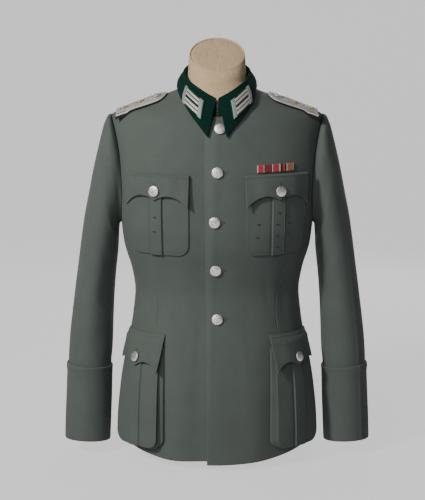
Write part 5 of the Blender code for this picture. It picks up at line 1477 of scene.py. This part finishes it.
def shoulder_board(side):
    """Flat silver cords side by side on a cloth base, turned round the button at the inner end."""
    half, length = BOARD_WIDTH / 2, BOARD_OUTER - BOARD_INNER
    at = np.concatenate([np.linspace(0, 0.76, 30), 1 - 0.24 * np.cos(np.linspace(0.06, 0.5, 14) * math.pi)])
    at = np.append(at[:-1], 0.9985)
    x = BOARD_OUTER - length * at
    into_end = np.clip((BOARD_INNER + half - x) / half, 0, 1)
    width = half * np.sqrt(1 - into_end**2)
    across = np.linspace(-1, 1, 25)
    y = BOARD_MIDDLE_Y + width[:, None] * across[None, :]
    wide_x = x[:, None] + np.zeros_like(y)
    low = board_height(wide_x, y)
    edge = (1 - np.abs(across))[None, :] * width[:, None]
    base_top = low + BOARD_BASE - rolled(edge, 0.0009, 0.0018)
    uv = stacked(wide_x, y)
    base = shell_parts(stacked(side * wide_x, y, base_top), stacked(side * wide_x, y, low), uv)
    parts, slots = [base], [0]
    for n, reach in enumerate(CORD_PLACES):
        end_x = BOARD_INNER + half
        straight = np.linspace(BOARD_OUTER - 0.0008, end_x, 34)
        turn = np.linspace(0, math.pi, 10 + 8 * n)[1:-1]
        line_x = np.concatenate([straight, end_x - reach * np.sin(turn), straight[::-1]])
        line_y = np.concatenate([
            np.full(len(straight), reach), reach * np.cos(turn), np.full(len(straight), -reach)
        ]) + BOARD_MIDDLE_Y
        line = stacked(side * line_x, line_y, board_height(line_x, line_y) + CORD_LIFT)
        step = 0.002
        slope_x = (board_height(line_x + step, line_y) - board_height(line_x - step, line_y)) / (2 * step)
        slope_y = (board_height(line_x, line_y + step) - board_height(line_x, line_y - step)) / (2 * step)
        outward = unit(stacked(-side * slope_x, -slope_y, 1.0))
        count = len(line)
        steps = np.linspace(0, count - 1, 3 * count)
        fine, fine_out = (Curve(np.arange(count), values)(steps) for values in (line, outward))
        parts.append(tube_parts(fine, unit(fine_out), CORD_RADIUS, 12, flat=CORD_FLAT))
        slots.append(2 if n == len(CORD_PLACES) - 1 else 1)
    name = f"shoulder_board_{side_name(side)}"
    piece = joined(f"{name}_braid", parts, [DARK_BASE, SILVER_CORD, PALE_CORD], slots, sharp=60)
    dressed(piece, [name])
    x, y = BOARD_BUTTON_X, BOARD_MIDDLE_Y
    at = lambda a, b: stacked(side * x + a, y + b, board_height(x + side * a, np.array(y + b)) + BOARD_WALL)
    place, outward = facing(at, 0.004)
    metal_buttons([(place + outward * SEAM, outward)], BOARD_BUTTON, [f"board_button_{side_name(side)}"])


# Collar patches: where each starts behind the collar's front edge, and its length. How far it is below the
# fold, and how high, change evenly from its front end to its far end
PATCH_START, PATCH_LENGTH, PATCH_DOWN, PATCH_HEIGHT = 0.022, 0.062, (0.0150, 0.0065), (0.0400, 0.0435)
PATCH_LIFT, PATCH_BASE, PATCH_WALL, BRAID_CROWN = 0.0009, 0.0008, 0.0016, 0.0004


def collar_frame(side):
    """A function of a length along the fall and a drop from the fold: the place and its outward direction."""
    reach = 180 - COLLAR[0].angle
    turns = side * np.linspace(reach, reach - 100, 201)
    at = np.linspace(COLLAR_AT[6], COLLAR_AT[-1], 31)
    surface = collar_points(turns, at)
    run = lengths(surface, 0)[0][:, 0]
    drops = lengths(surface, 1)[0]
    normals = np.cross(np.gradient(surface, axis=0), np.gradient(surface, axis=1))
    normals = unit(normals) * (1 if (normals[100, 10] * (surface[100, 10] - (0, 0, 0.7))).sum() > 0 else -1)

    def place(along, down):
        along, down = np.broadcast_arrays(np.asarray(along, float), down)
        i = np.interp(along, run, np.arange(len(run)))
        low = np.minimum(i.astype(int), len(run) - 2)
        part = (i - low)[..., None]
        found = []
        for grid in (surface, normals):
            rows = []
            for k in (low, low + 1):
                row, length = grid[k], drops[k]
                j = np.clip((length < down[..., None]).sum(axis=-1) - 1, 0, len(at) - 2)[..., None]
                before, after = np.take_along_axis(length, j, -1), np.take_along_axis(length, j + 1, -1)
                share = (down[..., None] - before) / (after - before)
                a = np.take_along_axis(row, j[..., None], -2)[..., 0, :]
                b = np.take_along_axis(row, j[..., None] + 1, -2)[..., 0, :]
                rows.append(mix(a, b, share))
            found.append(mix(rows[0], rows[1], part))
        return found[0], unit(found[1])

    return place


def strip_parts(place, start, end, low, high, lift, wall, across, along):
    """A flat strip of braid on the collar, from low to high, with round edges and a slight crown."""
    u = stops(end - start, (0.0003, 0.0008), (end - start) / along)
    v = stops(high - low, (0.0002, 0.0005), (high - low) / across)
    a, d = np.broadcast_arrays(mix(start, end, u)[None, :], mix(low, high, v)[:, None])
    edge = np.minimum(np.minimum(a - start, end - a), np.minimum(d - low, high - d))
    height = lift + wall + BRAID_CROWN * smooth(edge / 0.002) - rolled(edge, wall * 0.7, 0.0007)
    points, outward = place(a, d)
    uv = stacked(a, d)
    return shell_parts(points + outward * height[..., None], points + outward * lift, uv)


def collar_patch(side):
    """Two bars of silver braid between wider ends, on a green cloth patch."""
    start, length, height = PATCH_START, PATCH_LENGTH, PATCH_HEIGHT[0]
    on_fall = collar_frame(side)

    def place(along, down):
        u = (along - start) / length
        return on_fall(along, mix(*PATCH_DOWN, u) + down * mix(*PATCH_HEIGHT, u) / height)

    parts = [strip_parts(place, start, start + length, 0.0, height, PATCH_LIFT, PATCH_BASE, 16, 40)]
    slots = [0]
    over = PATCH_LIFT + PATCH_BASE + 0.00005
    inset, middle, gap, end = 0.0030, height / 2, 0.0024, 0.0098
    wall = PATCH_WALL - PATCH_BASE
    a0, a1 = start + inset, start + length - inset
    bar = a0 + end - 0.001, a1 - end + 0.001
    for low, high in ((inset, middle - gap / 2), (middle + gap / 2, height - inset)):
        bar_low, bar_high = low + 0.0012, high - 0.0012
        third = (bar_high - bar_low - 0.0016) / 2
        for s_low in (bar_low, bar_high - third):
            parts.append(strip_parts(place, *bar, s_low, s_low + third, over, wall, 8, 46))
            slots.append(2)
        between = bar_low + third - 0.0002, bar_high - third + 0.0002
        parts.append(strip_parts(place, *bar, *between, over, 0.0005, 4, 46))
        slots.append(3)
    between = middle - gap / 2, middle + gap / 2
    parts.append(strip_parts(place, a0 + end, a1 - end, *between, over, 0.0003, 4, 46))
    slots.append(3)
    for near in (a0, a1 - end):
        ends = inset - 0.0020, height - inset + 0.0020
        parts.append(strip_parts(place, near, near + end, *ends, over, wall + 0.0002, 30, 10))
        slots.append(1)
    name = f"collar_patch_{side_name(side)}"
    piece = joined(f"{name}_braid", parts, [GREEN_FACING, DULL_CORD, PALE_CORD, DARK_BASE], slots, sharp=60)
    dressed(piece, [name])


# Hooks down the stand's front edge: shares of the way down, their shift from it, and each eye's half width,
# half height and wire radius
HOOK_DROPS, HOOK_OFF = (0.12, 0.30, 0.48, 0.66, 0.84), (-0.0022, -0.0012, 0)
HOOK_WIDE, HOOK_HIGH, HOOK_WIRE = 0.0016, 0.0011, 0.00042


def stand_hooks():
    """The hooks and bars that close the collar's stand at the throat."""
    parts = []
    foot, _, top = collar_section(np.array(180.0 - COLLAR[0].angle))[:3]
    turn = np.linspace(0, 2 * math.pi, 14, endpoint=False)
    eye = stacked(HOOK_WIDE * np.cos(turn), 0.0, HOOK_HIGH * np.sin(turn))
    facing_front = np.tile([0, -1.0, 0], (len(turn), 1))
    for drop in HOOK_DROPS:
        at = mix(top, foot, drop) + HOOK_OFF
        parts.append(tube_parts(at + eye, facing_front, HOOK_WIRE, THREAD_SIDES, closed=True))
    piece = joined("collar_hooks", parts, [DULL_WIRE])
    dressed(piece)


# The ribbon bar
RIBBON_NEAR, RIBBON_FAR, RIBBON_LOW, RIBBON_HIGH, RIBBON_TILT = 0.076, 0.151, 0.5835, 0.5985, 0.004
RIBBON_WALL, RIBBON_LIFT = 0.0030, 0.0006
RIBBON_GAP = 0.004  # share of the bar's length left free beside each ribbon
RIBBON_ROWS = (0, 0.02, 0.06, 0.12, 0.22, 0.34, 0.50, 0.66, 0.78, 0.88, 0.94, 0.98, 1)
# Each ribbon: its share of the bar, and its stripes from the wearer's right as shares of it and colours
RIBBONS = (
    (0.19, (("white", 0.12), ("red", 0.76), ("white", 0.12))),
    (0.20, (("dark", 0.06), ("crimson", 0.88), ("dark", 0.06))),
    (0.24, (("white", 0.08), ("red", 0.70), ("white", 0.16), ("red", 0.06))),
    (0.15, (("black", 0.30), ("red", 0.42), ("black", 0.28))),
    (0.22, (("cream", 0.13), ("tan", 0.74), ("cream", 0.13))),
)


def ribbon_bar():
    """Five ribbons of ribbed silk, each folded round the bar."""
    parts, slots = [], []
    names = list(SILKS)
    start = 0.0
    for share, stripes in RIBBONS:
        total = sum(width for _, width in stripes)
        at = start + RIBBON_GAP
        for colour, width in stripes:
            end = at + (share - 2 * RIBBON_GAP) * width / total
            columns, rows = np.linspace(at, end, 5), np.array(RIBBON_ROWS)
            u, v = np.broadcast_arrays(columns[None, :], rows[:, None])
            z = mix(RIBBON_LOW, RIBBON_HIGH, v) + RIBBON_TILT * u
            edge = np.minimum(v, 1 - v) * (RIBBON_HIGH - RIBBON_LOW)
            rim = np.minimum(u - start, start + share - u) * (RIBBON_FAR - RIBBON_NEAR)
            height = RIBBON_LIFT + RIBBON_WALL - rolled(edge, 0.0016, 0.0020) - rolled(rim, 0.0006, 0.0012)
            arc = mix(RIBBON_NEAR, RIBBON_FAR, u)
            parts.append(shell_parts(on_body(arc, z, height), on_body(arc, z, RIBBON_LIFT), stacked(arc, z)))
            slots.append(names.index(colour))
            at = end
        start += share
    piece = joined("ribbon_bar_silk", parts, list(SILKS.values()), slots, sharp=50)
    dressed(piece, ["ribbon_bar"])


# Stitching
STITCH_PITCH, STITCH_LENGTH, STITCH_THICKNESS, STITCH_PULL = 0.0034, 0.0026, 0.00055, 0.12


def even_points(line, pitch):
    """Points at even lengths along a line."""
    run = run_along(line)
    at = np.arange(pitch / 2, run[-1], pitch)
    return np.stack([np.interp(at, run, line[:, k]) for k in range(3)], axis=1)


def stitch_tree():
    """Geometry Nodes: a small thread on every point, turned along the seam, with an uneven pull to each."""
    tree = bpy.data.node_groups.new("stitches", "GeometryNodeTree")
    face = tree.interface
    face.new_socket("Seam", in_out="INPUT", socket_type="NodeSocketGeometry")
    for name in ("Stitch Length", "Stitch Thickness", "Unevenness"):
        face.new_socket(name, in_out="INPUT", socket_type="NodeSocketFloat")
    face.new_socket("Thread", in_out="INPUT", socket_type="NodeSocketMaterial")
    face.new_socket("Stitches", in_out="OUTPUT", socket_type="NodeSocketGeometry")
    given = add(tree, "NodeGroupInput")
    dot = add(tree, "GeometryNodeMeshUVSphere", inputs={"Segments": 6, "Rings": 4, "Radius": 0.5})
    along = add(
        tree, "GeometryNodeInputNamedAttribute", {"data_type": "FLOAT_VECTOR"}, {"Name": "seam_along"}
    )
    turn = add(
        tree, "FunctionNodeAlignRotationToVector", {"axis": "X"}, links={"Vector": along.outputs["Attribute"]}
    )
    low = add(tree, "ShaderNodeMath", {"operation": "SUBTRACT"}, {0: 1.0}, {1: given.outputs["Unevenness"]})
    high = add(tree, "ShaderNodeMath", {"operation": "ADD"}, {0: 1.0}, {1: given.outputs["Unevenness"]})
    pull = add(
        tree, "FunctionNodeRandomValue", {"data_type": "FLOAT"}, {"Seed": 7},
        {2: low.outputs[0], 3: high.outputs[0]},
    )
    long = add(
        tree, "ShaderNodeMath", {"operation": "MULTIPLY"},
        links={0: given.outputs["Stitch Length"], 1: pull.outputs[1]},
    )
    size = add(tree, "ShaderNodeCombineXYZ", links={
        "X": long.outputs[0], "Y": given.outputs["Stitch Thickness"], "Z": given.outputs["Stitch Thickness"],
    })
    placed = add(tree, "GeometryNodeInstanceOnPoints", links={
        "Points": given.outputs["Seam"], "Instance": dot.outputs["Mesh"],
        "Rotation": turn.outputs["Rotation"], "Scale": size.outputs["Vector"],
    })
    real = add(tree, "GeometryNodeRealizeInstances", links={"Geometry": placed.outputs[0]})
    thread = add(tree, "GeometryNodeSetMaterial", links={
        "Geometry": real.outputs[0], "Material": given.outputs["Thread"],
    })
    add(tree, "NodeGroupOutput", links={"Stitches": thread.outputs[0]})
    return tree


def set_inputs(modifier, **values):
    """Sets a modifier's inputs by name, through their identifiers."""
    for item in modifier.node_group.interface.items_tree:
        key = item.name.replace(" ", "_")
        if item.in_out == "INPUT" and key in values:
            modifier[item.identifier] = values[key]


def stitches():
    """All the visible stitching, grown on points along the seams."""
    points, along = [], []
    for line in STITCH_LINES:
        at = even_points(np.asarray(line, float), STITCH_PITCH)
        if len(at) > 2:
            points.append(at)
            along.append(unit(np.gradient(at, axis=0)))
    points, along = np.concatenate(points) + (0, SHIFT_Y, 0), np.concatenate(along)
    mesh = bpy.data.meshes.new("seams")
    mesh.from_pydata(points.tolist(), [], [])
    mesh.attributes.new("seam_along", "FLOAT_VECTOR", "POINT").data.foreach_set("vector", along.ravel())
    seam = put("seams", mesh)
    modifier = seam.modifiers.new("stitches", "NODES")
    modifier.node_group = stitch_tree()
    set_inputs(
        modifier, Stitch_Length=STITCH_LENGTH, Stitch_Thickness=STITCH_THICKNESS, Unevenness=STITCH_PULL,
        Thread=THREAD,
    )
    seen = seam.evaluated_get(bpy.context.evaluated_depsgraph_get())
    made = put("stitching", bpy.data.meshes.new_from_object(seen))
    seam.modifiers.remove(modifier)
    bpy.data.objects.remove(seam)
    made.data.shade_smooth()
    dressed(made)


# The studio's lamps: place, size, watts and colour
LAMPS = (
    ("key", (-1.78, -1.78, 2.05), 0.42, 54.0, "#fffcf6"),
    ("front", (-0.73, -2.72, 1.45), 1.4, 18.5, "#f6faff"),
    ("back", (0.50, 2.30, 1.30), 1.6, 17.0, "#f6faff"),
)
LAMPS_FACE = (0, 0, 0.42)
ROOM_LIGHT, ROOM_SEEN = 0.07, 1.40  # the room's light on the object, and as the camera sees it
SWEEP_TURNS_AT, SWEEP_RADIUS = 2.4, 1.2  # the paper's bend behind the object
CAMERA_PLACE, CAMERA_TILT = (-0.0092, SHIFT_Y - 2.10, 0.721), 8.2


def camera():
    """The photograph's viewing angle: a little above the chest, looking slightly down."""
    lens = bpy.data.cameras.new("camera")
    lens.lens, lens.sensor_width = 74.5, 36.0
    made = put("camera", lens)
    made.location = CAMERA_PLACE
    made.rotation_euler = (math.radians(90 - CAMERA_TILT), 0, 0)
    bpy.context.scene.camera = made


def lamp(name, place, size, watts, colour):
    light = bpy.data.lights.new(name, "AREA")
    light.shape, light.size, light.energy = "DISK", size, watts
    light.color = linear(colour)[:3]
    made = put(name, light)
    made.location = place
    direction = np.array(LAMPS_FACE, float) - place
    flat = math.hypot(direction[0], direction[1])
    heading = math.atan2(direction[1], direction[0]) - math.pi / 2
    made.rotation_euler = (math.atan2(flat, -direction[2]), 0, heading)


def studio():
    """A pale sweep of paper that shines a little itself, so it stays even, and three lamps.

    The key stands on the left, a broad one in front, and a weak one behind shows the back.
    """
    paper = new_material(
        "paper_sweep", Base_Color=linear("#8f8d8e"), Roughness=0.95, Emission_Color=linear("#c6c4c5"),
        Emission_Strength=1.50,
    )[0]
    near, radius = SWEEP_TURNS_AT, SWEEP_RADIUS
    curve = [(-5.0, 0.0), (near, 0.0)]
    bend = np.linspace(0.1, math.pi / 2, 12)
    curve += [(near + radius * math.sin(a), radius - radius * math.cos(a)) for a in bend]
    curve.append((near + radius, 5.5))
    points = [(x, y - SHIFT_Y, z - 0.0004) for y, z in curve for x in (-6, 6)]
    faces = [(2 * k, 2 * k + 1, 2 * k + 3, 2 * k + 2) for k in range(len(curve) - 1)]
    sweep = make_object("paper_sweep", points, faces, materials=[paper])
    sweep.visible_diffuse = False
    for values in LAMPS:
        lamp(*values)
    world = bpy.data.worlds.new("room")
    world.use_nodes = True
    tree = world.node_tree
    path = add(tree, "ShaderNodeLightPath")
    strength = add(
        tree, "ShaderNodeMix", {"data_type": "FLOAT"}, {2: ROOM_LIGHT, 3: ROOM_SEEN},
        {"Factor": path.outputs["Is Camera Ray"]},
    )
    background = tree.nodes["Background"]
    background.inputs["Color"].default_value = linear("#d9dadc")
    tree.links.new(strength.outputs[0], background.inputs["Strength"])
    bpy.context.scene.world = world


camera()
studio()
front, covered, back = front_patch(True), front_patch(False), back_patch()
body_panel("front_left", front, 1, True)
body_panel("front_right", covered, -1, False)
body_panel("back_left", back, 1)
body_panel("back_right", back, -1)
for side in (1, -1):
    sleeve_and_cuff(side)
    chest_pocket(side)
    skirt_pocket(side)
    for kind, flap, lift_at in FLAPS:
        pocket_flap(kind, side, flap, lift_at)
    collar_patch(side)
    shoulder_board(side)
collar()
dress_form()
front_buttons()
flap_buttons()
buttonholes()
thread_loops()
stand_hooks()
ribbon_bar()
stitches()
for name in ("star_left_1", "star_left_2", "star_right_1", "star_right_2"):
    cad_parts[name].material_slots[0].material = GILT
